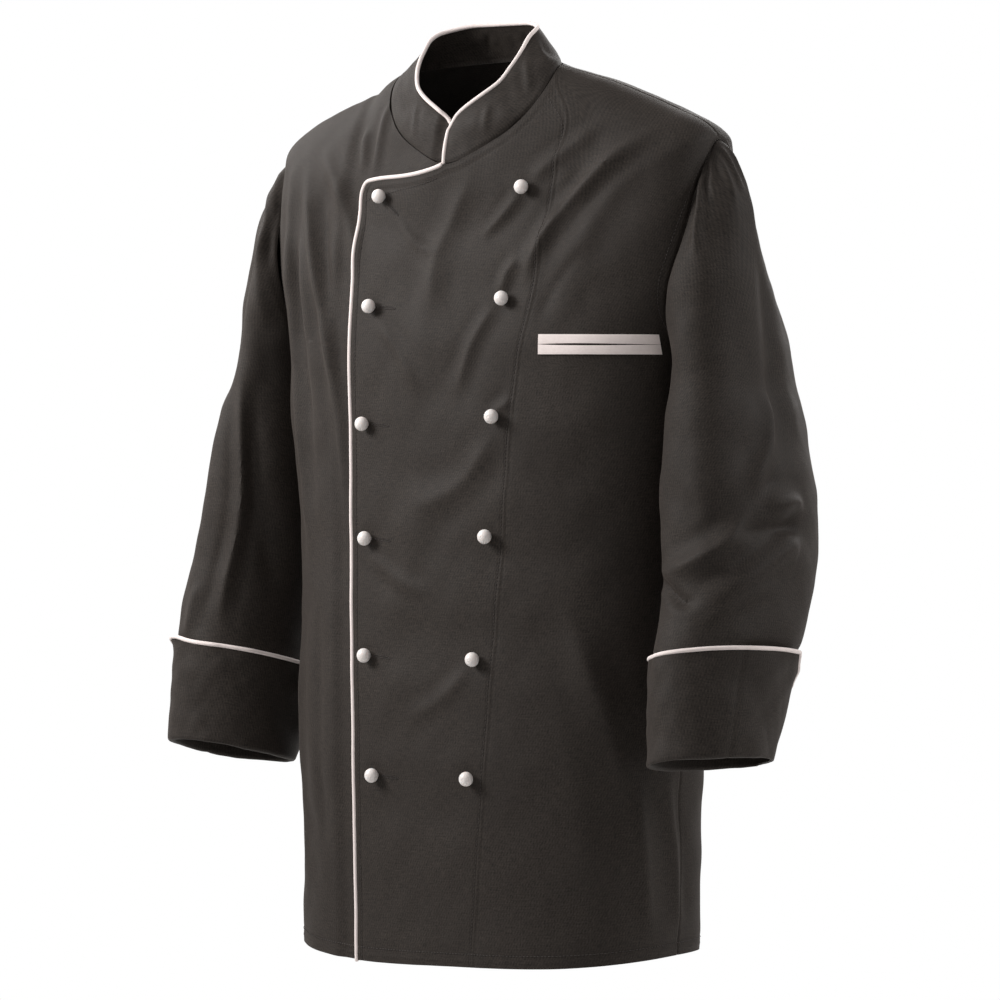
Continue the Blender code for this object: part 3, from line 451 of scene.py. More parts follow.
def collar_surface(turn, up, out=0.0):
    """The stand: up 0 at the neck seam, 1 at the rim. Turn runs on past the throat at both ends."""
    plain = body_plain(turn, NECK)
    base = plain + outward(turn, np.full(turn.shape, NECK)) * long_folds(plain, turn)[..., None]
    top = rim(turn)
    rise = unit(top - base)
    facing = unit(np.cross(collar_direction(turn), rise))
    up = np.broadcast_to(up, turn.shape)
    under = LAYER * ease((turn - COLLAR_STEP_START) / COLLAR_STEP_RUN)
    away = COLLAR_BOW * 4 * up * (1 - up) - under + out
    lifted = base + rise * COLLAR_GAP
    return lifted + (top - lifted) * up[..., None] + facing * away[..., None]


# -------------------- creases and the worn surface
# Each crease has its width at both ends and its rise in mm, then places along it; a negative rise
# is a trough. On the body a place is (turn in degrees, height in mm).
BODY_CREASES = (
    (6.5, 9, 4.4, (-76, -70), (-73.5, -97), (-69.5, -151), (-67, -205), (-66, -249), (-64, -293),
     (-61, -370), (-57, -460)),
    (5.5, 8.5, 4.6, (-75.5, -66), (-68.5, -106), (-62.5, -150), (-58, -186), (-52.5, -234),
     (-47.5, -279), (-43, -350), (-41, -420)),
    (7.2, 9.2, 4, (-74.5, -60), (-65.5, -92), (-57, -120), (-48.5, -161), (-44, -190)),
    (4.8, 5.5, 2.6, (-69, -44), (-63.5, -68), (-57, -94)),
    (4.8, 5.5, 2.4, (-71, -22), (-62, -53), (-57.5, -75), (-52, -100)),
    (7.5, 9, -3, (-72.5, -120), (-65, -190), (-60, -270), (-56, -360)),
    (6, 8, -2.4, (-68, -90), (-59, -145), (-53, -205)),
    (7, 9.5, 5.6, (81, -54), (75.5, -72), (71, -85), (65, -107), (58.5, -127), (52, -152),
     (47, -175), (43, -205)),
    (17, 20, 2.8, (80, -52), (72, -78), (66, -99), (57, -136), (51, -164), (46, -195)),
    (6.5, 7.5, 3, (75, -52), (70.5, -63), (66, -74), (61, -86), (56, -96), (50, -112)),
    (9, 11, -2.4, (62, -160), (54, -192), (48, -232)),
    (10, 12, 3, (30, -87), (12.5, -120), (-4, -172), (0, -230)),
    (10, 13, 2.8, (36, -318), (19, -373), (-10, -388)),
    (6, 5, 2.4, (49.5, -110), (39, -133), (25, -155)),
    (5.5, 6, 2.4, (35.5, -205), (38.5, -183), (44, -168)),
    (5.5, 5.5, 2.2, (32, -307), (40.5, -292)),
    (6.5, 7, 2.4, (35.5, -205), (22.5, -245), (15.5, -293)),
    (5, 6, 1.8, (-35, -130), (-18, -158), (2, -168)),
    (5, 7, 1.8, (-33, -222), (-16, -252), (-4, -290)),
    (6, 7, 2, (-30, -425), (-12, -452), (8, -462)),
    (6, 8, 1.8, (26, -520), (10, -556), (-8, -570)),
    (12, 15, 4, (54, -459), (64, -547), (72, -633), (75, -729)),
    (8, 9, 3.2, (74.5, -606), (75.5, -685), (78.5, -764)),
    (7, 8, 2.8, (84.5, -604), (86.5, -680), (90.5, -759)),
    (10, 14, 3, (-66, -490), (-62, -600), (-60, -745)),
    (9, 11, -2.6, (-52, -460), (-49, -590), (-47, -710)),
    (8, 9, 2.8, (100, -130), (112, -200), (124, -262)),
    (6, 9, 4.4, (104, -90), (120, -150), (139, -235), (150, -330)),
    (6, 9, 4.2, (-102, -85), (-121, -160), (-138, -250), (-147, -350)),
    (5.5, 7, 2.8, (-108, -125), (-122, -205), (-131, -290)),
    (9, 11, 4.6, (158, -330), (163, -450), (160, -560), (165, -710)),
    (9, 12, 4.4, (-161, -320), (-158, -430), (-164, -560), (-160, -750)),
    (9, 10, -3, (171, -320), (174, -450), (171, -580)),
    (7, 8, 2.8, (-150, -385), (-172, -398), (168, -392), (148, -376)),
    (6.5, 7, -2.2, (-146, -412), (-168, -424), (170, -418), (152, -404)),
    (9, 11, 3.8, (117, -420), (121, -560), (119, -730)),
    (9, 11, 3.6, (-118, -430), (-123, -570), (-120, -745)),
)
SLEEVE_CREASES = {         # places are (angle in degrees, down)
    "left": (
        (2.8, 4, 2.2, (28, .002), (24, .02), (22, .055), (20, .1)),
        (2.8, 4.5, 2.2, (15, .004), (9, .04), (7, .095)),
        (2.6, 3.6, 2.2, (32, .002), (37, .018), (44, .05)),
        (3, 5, 2, (3, .008), (-8, .045), (-9, .095)),
        (3.4, 6.2, 4.6, (40, .001), (48, .013), (56, .042), (63, .065), (70, .115)),
        (2.8, 3.8, -2.6, (36, .008), (47, .03), (53, .06)),
        (13, 16, -3.6, (12, .133), (-8, .24), (-2, .35), (14, .44), (32, .52)),
        (11, 12, 1.6, (-22, .217), (-27, .337), (-21, .45)),
        (8.5, 9.5, 5, (4, .32), (14, .43), (30, .484), (37, .52), (30, .546)),
        (8.5, 9.5, 4.6, (34, .552), (16, .546), (-4, .545), (-18, .556)),
        (9.5, 10.5, -6, (60, .622), (38, .598), (14, .588), (-10, .59), (-20, .612)),
        (9, 10.5, 4.6, (38, .555), (47, .583), (59, .62), (76, .65), (95, .667), (112, .668),
         (128, .655)),
        (4.8, 5.8, -5.4, (132, .672), (118, .69), (102, .709), (89, .722), (72, .722)),
        (9, 10, 2.2, (-25, .5), (25, .58), (80, .657), (121, .673)),
        (9, 10, 3, (-24, .58), (25, .653), (60, .72), (90, .752)),
        (8, 9, -2.4, (-18, .545), (25, .615), (66, .69)),
        (6, 7, 2.2, (72, .76), (45, .725), (13, .683)),
        (15, 19, 4.6, (119, .2), (117, .35), (120, .5), (126, .66), (128, .78)),
        (9, 11, 4, (-84, .3), (-98, .42), (-124, .5)),
        (7.5, 10, 4.4, (-82, .53), (-104, .58), (-135, .6), (-170, .58)),
        (7, 9, 4, (-80, .63), (-104, .665), (-142, .655)),
    ),
    "right": (
        (7.5, 7.5, 3.6, (2, .028), (37, .031), (66, .028)),
        (5, 6, 3.4, (14, .048), (46, .046), (66, .055), (80, .12)),
        (8, 10, 3.8, (50, .065), (83, .092), (112, .17)),
        (6.2, 7.2, 6.6, (86, .275), (97, .357), (108, .49), (112, .633), (111, .7), (113, .75),
         (118, .79)),
        (7.5, 7.5, 3, (84, .7), (79, .79)),
        (14, 16, -4, (98, .34), (125, .583), (159, .74)),
        (4.5, 6.5, 2.8, (4, .012), (12, .07)),
        (4, 6, 2.8, (-12, .015), (2, .08)),
        (16, 19, -7.2, (58, .08), (60, .16), (64, .26), (67, .38)),
        (11, 13, 2.4, (8, .17), (-6, .33), (0, .46), (12, .56)),
        (9, 10, 2.4, (-34, .5), (15, .56), (52, .6)),
        (8, 9, 2.4, (-34, .6), (20, .655), (60, .69)),
        (9, 11, 4, (-60, .31), (-88, .43), (-125, .51)),
        (7.5, 10, 4.2, (-50, .53), (-92, .59), (-132, .6)),
        (7, 9, 3.6, (-48, .65), (-92, .68), (-140, .66)),
    ),
}
COLLAR_CREASES = (         # places are (turn in degrees, up)
    (3, 4.2, 1.3, (96, .95), (88, .6), (84, .25)),
    (3, 4, 1.2, (80, .92), (72, .55), (66, .15)),
    (3, 4.5, 1.2, (48, .8), (42, .45), (40, .1)),
    (2.8, 4, 1, (-52, .85), (-44, .45), (-38, .15)),
    (3.5, 4.5, 1.2, (-92, .9), (-100, .5), (-104, .15)),
    (3.5, 5, 1.2, (150, .85), (158, .45), (156, .12)),
    (3.5, 5, 1.2, (-158, .88), (-150, .5), (-152, .15)),
)
CREASE_ENDS = 0.30         # share of a crease over which each end dies away
CREASE_TROUGH = 0.28       # depth of the troughs beside it, as a share of its rise
CHEST_OUT = 0.0045         # the front stays full up to the armhole
CHEST_OUT_RUN = 0.050
BUTTON_DIP = 0.0011        # cloth drawn in round a button
BUTTON_DIP_WIDE = 0.009
HEM_SETTLE = 0.0042        # how far the worn front's hem hangs below the model's, at its lowest
HEM_SETTLE_X, HEM_SETTLE_WIDE = -0.08, 0.10
HEM_SETTLE_RINGS = 0.09    # it fades out this many rings above the hem
SHOULDER_SETTLE = 0.0062   # how far the cloth sinks beside the collar on the wearer's right
SHOULDER_SETTLE_X, SHOULDER_SETTLE_Y = -0.128, -0.030
SHOULDER_WIDE_X, SHOULDER_WIDE_Y = 0.040, 0.060
SHOULDER_SETTLE_FROM = 0.6    # ring above which it sinks
SHOULDER_SETTLE_RUN = 0.030   # rings below the neck seam over which that begins
EDGE_CALM = 0.7            # the cloth waves this much less along the overlap's edge
EDGE_CALM_X, EDGE_CALM_WIDE = -0.083, 0.035
WAVE_SEED = 7
CLOTH_WAVES = (            # wavelength and height of the cloth's slow unevenness
    (.150, .0005), (.110, .0004), (.075, .00028), (.048, .00016), (.031, .00009), (.021, .00005),
)


def wave_directions():
    """Fixed directions and phases of the cloth's unevenness, three for each wavelength."""
    maker = np.random.default_rng(WAVE_SEED)
    return [(unit(maker.normal(size=3)) * 2 * math.pi / length, maker.uniform(0, 2 * math.pi), rise)
            for length, rise in CLOTH_WAVES for _ in range(3)]


def waviness(points):
    return sum(np.sin(points @ direction + phase) * height for direction, phase, height in WAVES)


def rounded(line, times=3):
    """A line of points with its corners cut, ends kept."""
    for _ in range(times):
        near, far = line[:-1] * 0.75 + line[1:] * 0.25, line[:-1] * 0.25 + line[1:] * 0.75
        middle = np.stack((near, far), axis=1).reshape(-1, line.shape[1])
        line = np.concatenate((line[:1], middle, line[-1:]))
    return line


def crease_lines(rows, surface):
    """Creases as widths and rise in metres and a line of points on a surface."""
    found = []
    for start, end, rise, *places in rows:
        turns, others = np.array(places, float).T
        turns, others = rounded(np.stack((np.unwrap(np.radians(turns)), others), axis=1)).T
        found.append((start * MM, end * MM, rise * MM, surface(turns, others)))
    return found


def from_line(points, line, reach):
    """Distance of each point to a line and the share along it; far points are left at infinity."""
    flat = points.reshape(-1, 3)
    apart, share = np.full(len(flat), np.inf), np.zeros(len(flat))
    near = np.all((flat > line.min(axis=0) - reach) & (flat < line.max(axis=0) + reach), axis=1)
    if near.any():
        chosen, passed = flat[near], passed_along(line)
        best, where = np.full(len(chosen), np.inf), np.zeros(len(chosen))
        for start, end, before, after in zip(line[:-1], line[1:], passed[:-1], passed[1:]):
            step = np.linalg.norm(end - start)
            if step < 1e-9:
                continue
            way = (end - start) / step
            along = np.clip((chosen - start) @ way, 0, step)
            gap = np.linalg.norm(chosen - start - along[:, None] * way, axis=1)
            closer = gap < best
            best[closer] = gap[closer]
            where[closer] = (before + along[closer]) / passed[-1]
        apart[near], share[near] = best, where
    return apart.reshape(points.shape[:-1]), share.reshape(points.shape[:-1])


def crease_relief(points, creases):
    """Height of the creases: a rounded ridge with a shallow trough along each side."""
    total = np.zeros(points.shape[:-1])
    for start_width, end_width, rise, line in creases:
        apart, share = from_line(points, line, 4 * max(start_width, end_width))
        across = np.minimum(apart / (start_width + (end_width - start_width) * share), 9.0)
        ridge = (0.6 * bump(across) + 0.4 * bump(across * 1.8)
                 - CREASE_TROUGH * bump((across - 1.9) / 0.9))
        total += rise * ridge * ease(share / CREASE_ENDS) * ease((1 - share) / CREASE_ENDS)
    return total


def worn_lift(plain, turn):
    """Everything that lifts the body's cloth off its plain rings."""
    ahead = frontness(turn)
    calm = 1 - EDGE_CALM * bump((plain[..., 0] - EDGE_CALM_X) / EDGE_CALM_WIDE) * ahead
    lift = long_folds(plain, turn) + crease_relief(plain, BODY_LINES) + waviness(plain) * calm
    for line in ARMHOLE_FRONTS:
        apart, share = from_line(plain, line, CHEST_OUT_RUN)
        lift += CHEST_OUT * np.clip(1 - apart / CHEST_OUT_RUN, 0, 1) ** 2 * window(share) * ahead
    for place in BUTTON_PLACES:
        lift -= BUTTON_DIP * bump(np.linalg.norm(plain - place, axis=-1) / BUTTON_DIP_WIDE)
    return lift


def settle(plain, turn, ring):
    """The worn cloth's sag at the front hem and beside the collar, as a move down."""
    x, y = plain[..., 0], plain[..., 1]
    low = np.clip(1 - ring / HEM_SETTLE_RINGS, 0, 1) ** 2
    down = HEM_SETTLE * bump((x - HEM_SETTLE_X) / HEM_SETTLE_WIDE) * frontness(turn) * low
    collar_side = (bump((x - SHOULDER_SETTLE_X) / SHOULDER_WIDE_X)
                   * bump((y - SHOULDER_SETTLE_Y) / SHOULDER_WIDE_Y))
    begin = ease((NECK - ring) / SHOULDER_SETTLE_RUN) * (ring > SHOULDER_SETTLE_FROM)
    down = down + SHOULDER_SETTLE * collar_side * begin
    return down[..., None] * np.array((0.0, 0.0, -1.0))


def worn(turn, ring, out, relief=None):
    """The body's worn surface moved out by a distance, its normals, and any relief added to it."""
    plain = body_plain(turn, ring)
    normal = outward(turn, ring)
    lift = worn_lift(plain, turn) + (relief(plain) if relief else 0.0) + out
    return plain + normal * lift[..., None] + settle(plain, turn, ring), normal


def on_front(x, height, out):
    """Points of the worn front at a distance x from the centre front and a height."""
    return worn(*front_place(x, height), out)


WAVES = wave_directions()
BODY_LINES = crease_lines(
    BODY_CREASES, lambda turn, height: body_plain(turn, ring_at_height(turn, height * MM)))
COLLAR_LINES = crease_lines(
    COLLAR_CREASES, lambda turn, up: collar_surface(turn % (2 * math.pi), up))
SLEEVE_LINES = {side: crease_lines(SLEEVE_CREASES[side], partial(on_sleeve, side))
                for side in ("left", "right")}
HOLE_RING, HOLE_TURN = armhole(np.linspace(0.0, math.pi, 40))
ARMHOLE_FRONTS = [body_plain(sign * HOLE_TURN, HOLE_RING) for sign in (1, -1)]
BUTTON_PLACES = [body_plain(*front_place([place[0]], [place[1]]))[0]
                 for row in BUTTON_ROWS for place in (row[:2], row[2:])]

# -------------------- rows and columns of the panels
SHUT = 0.00003             # half the space left in a sewn seam
SEAM_DIP = 0.0009          # cloth rolls down into a seam this deep
SEAM_ROLL = 0.0013         # over this distance
SEAM_REACH = 0.006         # nothing is drawn in further away than this
PRINCESS_DIP = 0.00014     # and less in the pressed princess seam
STITCH_IN = 0.0050         # topstitching's distance from its seam or edge
TOP_STITCH = 0.0085        # from the overlap's top edge
LONG_STITCH = 0.0052       # from its long edge
ARMHOLE_STITCH = 0.0075
HEM_STITCH = 0.0110
STITCH_DIP = 0.00035       # cloth drawn in along a stitch line
STITCH_PULL = 0.0010
NEAR_EDGE = np.array((0, .35, .8, 1.4, 2.2, 3.2, 4.2, 5.0, 5.8, 6.6, 7.6, 9.0, 11.0)) * MM
HEM_PACE = 1.09            # rings per metre just above the hem
NECK_PACE = 2.2            # and just below the neck
LOW_ROWS, HOLE_ROWS, NECK_ROWS = 130, 81, 36
ROW_CROWDING = 1.3         # rows lie closer together toward the underarm
EDGE_DRAW = 5              # only the columns nearest the armhole are drawn in to it
CENTRE_COLUMNS, SIDE_COLUMNS, RIGHT_COLUMNS, BACK_COLUMNS = 70, 56, 112, 57


def spaced(total, count):
    """Places across a panel in metres: close together at both edges, even between them."""
    near = NEAR_EDGE * min(1.0, total / 0.05)
    middle = np.linspace(near[-1], total - near[-1], count + 2)[1:-1]
    return np.concatenate((near, middle, total - near[::-1]))


def fine_levels():
    hem, close = NEAR_EDGE * HEM_PACE, NECK - NEAR_EDGE[::-1] * NECK_PACE
    low = UNDERARM * (1 - np.linspace(1.0, 0.0, LOW_ROWS) ** ROW_CROWDING)
    neck = np.linspace(TIP, NECK, NECK_ROWS)[1:]
    return np.concatenate((hem, low[low > hem[-1] + 0.004][:-1],
                           armhole(np.linspace(math.pi, 0.0, HOLE_ROWS))[0],
                           neck[neck < close[0] - 0.003], close))


LEVELS = fine_levels()


def across_row(level, start, end, edge, count):
    """Turns of one row, by distance along the cloth."""
    share = np.linspace(0, 1, 81)
    turn = start + (end - start) * share + (edge - end) * share ** EDGE_DRAW
    passed = passed_along(body_plain(turn, level))
    return np.interp(spaced(passed[-1], count), passed, turn)


def side_edge(sign):
    """Turn of the side seam, armhole edge and shoulder seam per level; sign is -1 for the back."""
    angle = np.arccos(np.clip((LEVELS - HOLE_MIDDLE) / HOLE_HALF, -1, 1))
    inside = (LEVELS > UNDERARM) & (LEVELS < TIP)
    return np.where(inside, armhole(sign * angle, SHUT)[1], math.pi / 2)


def shut_inset(turn, ring, toward):
    """A seam's turn, moved by half the space left in a sewn seam."""
    reach = np.linalg.norm(body_plain(turn + FAR, ring) - body_plain(turn, ring), axis=-1)
    return turn + toward * SHUT / (reach / FAR)


def hole_part(points, column):
    """The armhole's stretch of a panel's edge."""
    return points[(LEVELS >= UNDERARM - 1e-9) & (LEVELS <= TIP + 1e-9), column]


def seam_relief(points, seams, stitched):
    """Cloth rolled down into its seams, and drawn in along its topstitching."""
    total = np.zeros(points.shape[:-1])
    for line, deep in seams:
        apart, _ = from_line(points, line, SEAM_REACH)
        total -= deep * bump(np.minimum(apart / SEAM_ROLL, 9))
    for line, inside in stitched:
        apart, _ = from_line(points, line, inside + SEAM_REACH)
        for place, height in ((inside, -STITCH_DIP), (inside * 0.5, STITCH_DIP * 0.8)):
            total += height * bump(np.minimum(np.abs(apart - place) / STITCH_PULL, 9))
    return total


# -------------------- visible cloth walls
SHELL = 0.0012             # thickness of the visible cloth walls
CLOTH = 0.0015             # and of the model's


def grid_normals(grid):
    """Unit normals, pointing out, of a tube of points: rows run down, columns outside to front."""
    round_it = np.roll(grid, -1, axis=1) - np.roll(grid, 1, axis=1)
    return unit(np.cross(round_it, np.gradient(grid, axis=0)))


def metres_on(grid, wraps):
    """UVs in metres: across each row from the middle, up each column, a tube's from its end."""
    grid = closed_up(grid) if wraps else grid
    u = np.pad(np.cumsum(np.linalg.norm(np.diff(grid, axis=1), axis=2), axis=1), ((0, 0), (1, 0)))
    middle = grid.shape[1] // 2
    u -= u[:, middle:middle + 1]
    v = np.pad(np.cumsum(np.linalg.norm(np.diff(grid, axis=0), axis=2), axis=0), ((1, 0), (0, 0)))
    return np.stack((u, v - v[-1:] if wraps else v), axis=-1)


def mesh_of(name, points, faces, spots=None):
    """A smooth mesh, with UVs in metres where it has a weave."""
    mesh = bpy.data.meshes.new(name)
    mesh.from_pydata(np.asarray(points).tolist(), [], faces)
    if spots is not None:
        layer = mesh.uv_layers.new(name="cloth")
        layer.data.foreach_set("uv", np.asarray(spots, np.float32).reshape(-1))
    mesh.shade_smooth()
    return mesh


def keep(name, mesh, slot, stands_for=None):
    made = bpy.data.objects.new(name, mesh)
    if not mesh.materials:
        mesh.materials.append(FINISHES[slot])
    bpy.context.scene.collection.objects.link(made)
    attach(made, "root")
    if stands_for:
        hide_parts(stands_for)
    return made


def shell(name, stands_for, outer, inner, slot="anthracite_twill", wraps=False, turned=False):
    """A closed cloth wall of quads between two matching grids, with metre UVs."""
    uv = metres_on(outer, wraps)
    layer = outer.shape[0] * outer.shape[1]
    number = np.arange(layer).reshape(outer.shape[:2])
    number = closed_up(number) if wraps else number
    uv_number = np.arange(uv.shape[0] * uv.shape[1]).reshape(uv.shape[:2])
    faces, spots = [], []
    for ids, found, step in ((number, faces, layer), (uv_number, spots, 0)):
        quads = np.stack((ids[:-1, :-1], ids[:-1, 1:], ids[1:, 1:], ids[1:, :-1]), axis=-1)
        quads = quads.reshape(-1, 4)
        found += [quads, quads[:, ::-1] + step]
        edges = [ids[0], ids[-1][::-1]] + ([] if wraps else [ids[::-1, 0], ids[:, -1]])
        found += [np.stack((edge[1:], edge[:-1], edge[:-1] + step, edge[1:] + step), axis=-1)
                  for edge in edges]
    faces, spots = np.concatenate(faces), np.concatenate(spots)
    if turned:
        faces, spots = faces[:, ::-1], spots[:, ::-1]
    points = np.concatenate((outer.reshape(-1, 3), inner.reshape(-1, 3)))
    mesh = mesh_of(name, points, faces.tolist(), uv.reshape(-1, 2)[spots.reshape(-1)])
    mesh.set_sharp_from_angle(angle=math.radians(55))
    return keep(name, mesh, slot, stands_for)


def cloth(name, outer, inner, wraps=False, turned=False):
    """A wall of twill that stands in for the model's piece of that name."""
    piece = shell(name + "_cloth", name, outer, inner, wraps=wraps, turned=turned)


def panel(name, turn, ring, seams, depth=0.0):
    """One body panel between its worn surface and the same moved in by the cloth's thickness."""
    outer, normal = worn(turn, ring, depth, lambda plain: seam_relief(plain, *seams(plain)))
    cloth(name, outer, outer - normal * SHELL)


# -------------------- finishes
def linear(code):
    """An sRGB hex colour as linear RGBA."""
    parts = [int(code[i:i + 2], 16) / 255 for i in (1, 3, 5)]
    return [c / 12.92 if c <= 0.04045 else ((c + 0.055) / 1.055) ** 2.4 for c in parts] + [1.0]


MATHS, NOISE = "ShaderNodeMath", "ShaderNodeTexNoise"
RANGE, MIX = "ShaderNodeMapRange", "ShaderNodeMix"


def node(tree, kind, inputs=None, **settings):
    """Adds a node with its settings; an input is a value, a socket or a node's first output."""
    made = tree.nodes.new(kind)
    for key, value in settings.items():
        setattr(made, key, value)
    for key, value in (inputs or {}).items():
        if isinstance(value, bpy.types.Node):
            value = value.outputs[0]
        if isinstance(value, bpy.types.NodeSocket):
            tree.links.new(value, made.inputs[key])
        else:
            made.inputs[key].default_value = value
    return made


def waves(tree, u, v, u_turns, v_turns):
    """A sine of the cloth's own coordinates, turns per metre across and along."""
    along = node(tree, MATHS, {0: u, 1: u_turns * 2 * math.pi}, operation="MULTIPLY")
    both = node(tree, MATHS, {0: v, 1: v_turns * 2 * math.pi, 2: along},
                operation="MULTIPLY_ADD")
    return node(tree, MATHS, {0: both}, operation="SINE")


def new_finish(name, roughness, specular, **shader):
    """A material and its node tree."""
    made = bpy.data.materials.new(name)
    made.use_nodes = True
    tree = made.node_tree
    inputs = tree.nodes["Principled BSDF"].inputs
    inputs["Roughness"].default_value = roughness
    inputs["Specular IOR Level"].default_value = specular
    for key, value in shader.items():
        inputs[key.replace("_", " ")].default_value = value
    return made, tree


def woven_place(tree):
    """The cloth's metre UVs and their two parts."""
    uv = node(tree, "ShaderNodeUVMap", uv_map="cloth").outputs[0]
    split = node(tree, "ShaderNodeSeparateXYZ", {0: uv})
    return uv, split.outputs[0], split.outputs[1]


def dress(tree, colour, height=None, strength=0.0, depth=0.0, rough=None):
    """Links a finish's mixed colour, relief and roughness to its shader."""
    inputs = tree.nodes["Principled BSDF"].inputs
    tree.links.new(colour.outputs[2], inputs["Base Color"])
    if height is not None:
        relief = node(tree, "ShaderNodeBump", {"Height": height, "Strength": strength,
                                               "Distance": depth})
        tree.links.new(relief.outputs[0], inputs["Normal"])
    if rough is not None:
        tree.links.new(rough.outputs[0], inputs["Roughness"])


TWILL_PITCH = 0.0024       # twill lines; the real ones are 0.5 mm apart and would not show
TWILL_STEEP = math.radians(63)
YARN_PITCH = 0.0027        # upright yarns, drawn as coarse as they need to be to show
WARP_SLUBS = (900, 140, 1)    # a metre: uneven upright yarns 1.1 mm apart and 7 mm long
WEFT_SLUBS = (110, 800, 1)    # a metre: uneven level yarns 1.3 mm apart and 9 mm long
LINT = 620.0               # a metre: fine lint of 1.6 mm
CLOUD = 14.0               # a metre: patches of 70 mm, slightly more worn
BIAS_PITCH = 1 / 700       # the piping's crossed threads, drawn three times too coarse to show
BIAS_LINT = 420.0


def anthracite_twill():
    """Cotton and polyester twill, woven and piece-dyed: matt with a soft sheen on the folds, faint
    steep diagonal lines and slightly uneven yarns."""
    made, tree = new_finish("anthracite_twill_woven", 0.70, 0.18, Sheen_Weight=0.16,
                            Sheen_Roughness=0.38, Sheen_Tint=linear("#A89C94"))
    uv, u, v = woven_place(tree)
    twill = waves(tree, u, v, math.sin(TWILL_STEEP) / TWILL_PITCH,
                  -math.cos(TWILL_STEEP) / TWILL_PITCH)
    warp = waves(tree, u, v, 1 / YARN_PITCH, 0.0)
    long_way = node(tree, "ShaderNodeMapping", {0: uv, "Scale": WARP_SLUBS})
    wide_way = node(tree, "ShaderNodeMapping", {0: uv, "Scale": WEFT_SLUBS})
    slub = node(tree, NOISE, {"Vector": long_way, "Scale": 1.0, "Detail": 3.0, "Roughness": 0.6})
    weft = node(tree, NOISE, {"Vector": wide_way, "Scale": 1.0, "Detail": 2.0, "Roughness": 0.5})
    lint = node(tree, NOISE, {"Vector": uv, "Scale": LINT, "Detail": 3.0, "Roughness": 0.65})
    height = node(tree, MATHS, {0: twill, 1: 0.30}, operation="MULTIPLY")
    for grain, weight in ((warp, 0.15), (slub, 2.6), (weft, 2.2), (lint, 3.6)):
        height = node(tree, MATHS, {0: grain, 1: weight, 2: height}, operation="MULTIPLY_ADD")
    light = node(tree, RANGE, {"Value": height, 1: 3.0, 2: 5.4, 3: 0.0, 4: 1.0})
    yarns = node(tree, MIX, {0: light, 6: linear("#1A1613"), 7: linear("#3B342F")},
                 data_type="RGBA")
    own = node(tree, "ShaderNodeTexCoord")
    cloud = node(tree, NOISE, {"Vector": own.outputs["Object"], "Scale": CLOUD, "Detail": 3.0,
                               "Roughness": 0.55})
    worn_share = node(tree, RANGE, {"Value": cloud, 1: 0.35, 2: 0.7, 3: 0.0, 4: 0.35})
    colour = node(tree, MIX, {0: worn_share, 6: yarns.outputs[2], 7: linear("#27221F")},
                  data_type="RGBA")
    rough = node(tree, RANGE, {"Value": slub, 1: 0.0, 2: 1.0, 3: 0.62, 4: 0.76})
    dress(tree, colour, height, 0.6, 0.00009, rough)
    return made


def cream_cord_cover():
    """Bias-cut cotton over a cord: matt cream with a fine plain weave."""
    made, tree = new_finish("cream_cotton_bias", 0.72, 0.25, Sheen_Weight=0.10)
    uv, u, v = woven_place(tree)
    threads = 1 / BIAS_PITCH
    weave = node(tree, MATHS, {0: waves(tree, u, v, threads, threads),
                               1: waves(tree, u, v, threads, -threads)}, operation="MULTIPLY")
    lint = node(tree, NOISE, {"Vector": uv, "Scale": BIAS_LINT, "Detail": 3.0, "Roughness": 0.5})
    height = node(tree, MATHS, {0: lint, 1: 1.5, 2: weave}, operation="MULTIPLY_ADD")
    light = node(tree, RANGE, {"Value": height, 1: -0.6, 2: 2.0, 3: 0.0, 4: 1.0})
    colour = node(tree, MIX, {0: light, 6: linear("#DDCDC8"), 7: linear("#F2E7E3")},
                  data_type="RGBA")
    dress(tree, colour, height, 0.5, 0.00012)
    return made


def cloudy_finish(finish, scale, detail, dark, pale):
    """Another finish with a slow change between two colours: its tree, that change and the mix."""
    made, tree = finish
    own = node(tree, "ShaderNodeTexCoord")
    cloud = node(tree, NOISE, {"Vector": own.outputs["Object"], "Scale": scale, "Detail": detail,
                               "Roughness": 0.5})
    return made, tree, cloud, node(tree, MIX, {0: cloud, 6: linear(dark), 7: linear(pale)},
                                   data_type="RGBA")


def white_button_resin():
    """Moulded polyester resin: smooth off-white with a soft gloss and a faint cloudiness."""
    made, tree, cloud, colour = cloudy_finish(
        new_finish("white_moulded_resin", 0.34, 0.45, Subsurface_Weight=0.45,
                   Subsurface_Scale=0.004, Subsurface_Radius=(1.0, 0.9, 0.85),
                   Coat_Weight=0.12, Coat_Roughness=0.25), 160.0, 3.0, "#D9D1CD", "#E6DFDB")
    rough = node(tree, RANGE, {"Value": cloud, 1: 0.0, 2: 1.0, 3: 0.30, 4: 0.42})
    dress(tree, colour, cloud, 0.12, 0.0002, rough)
    return made


def sewing_thread():
    """Spun polyester thread: matt, with a twist too fine to show except as uneven tone."""
    made, tree, twist, colour = cloudy_finish(new_finish("dark_spun_thread", 0.62, 0.28),
                                              1600.0, 1.0, "#2A2523", "#4A4441")
    dress(tree, colour, twist, 0.4, 0.0001)
    return made


def painted_floor():
    """Matt painted board: plain pale grey with a faint mottle."""
    made, tree, _, colour = cloudy_finish(new_finish("pale_painted_board", 0.9, 0.1),
                                          1.5, 2.0, "#F1F1F0", "#F5F5F4")
    dress(tree, colour)
    return made


FINISHES = {"anthracite_twill": anthracite_twill(), "cream_piping": cream_cord_cover(),
            "white_button": white_button_resin()}
DARK_THREAD = sewing_thread()


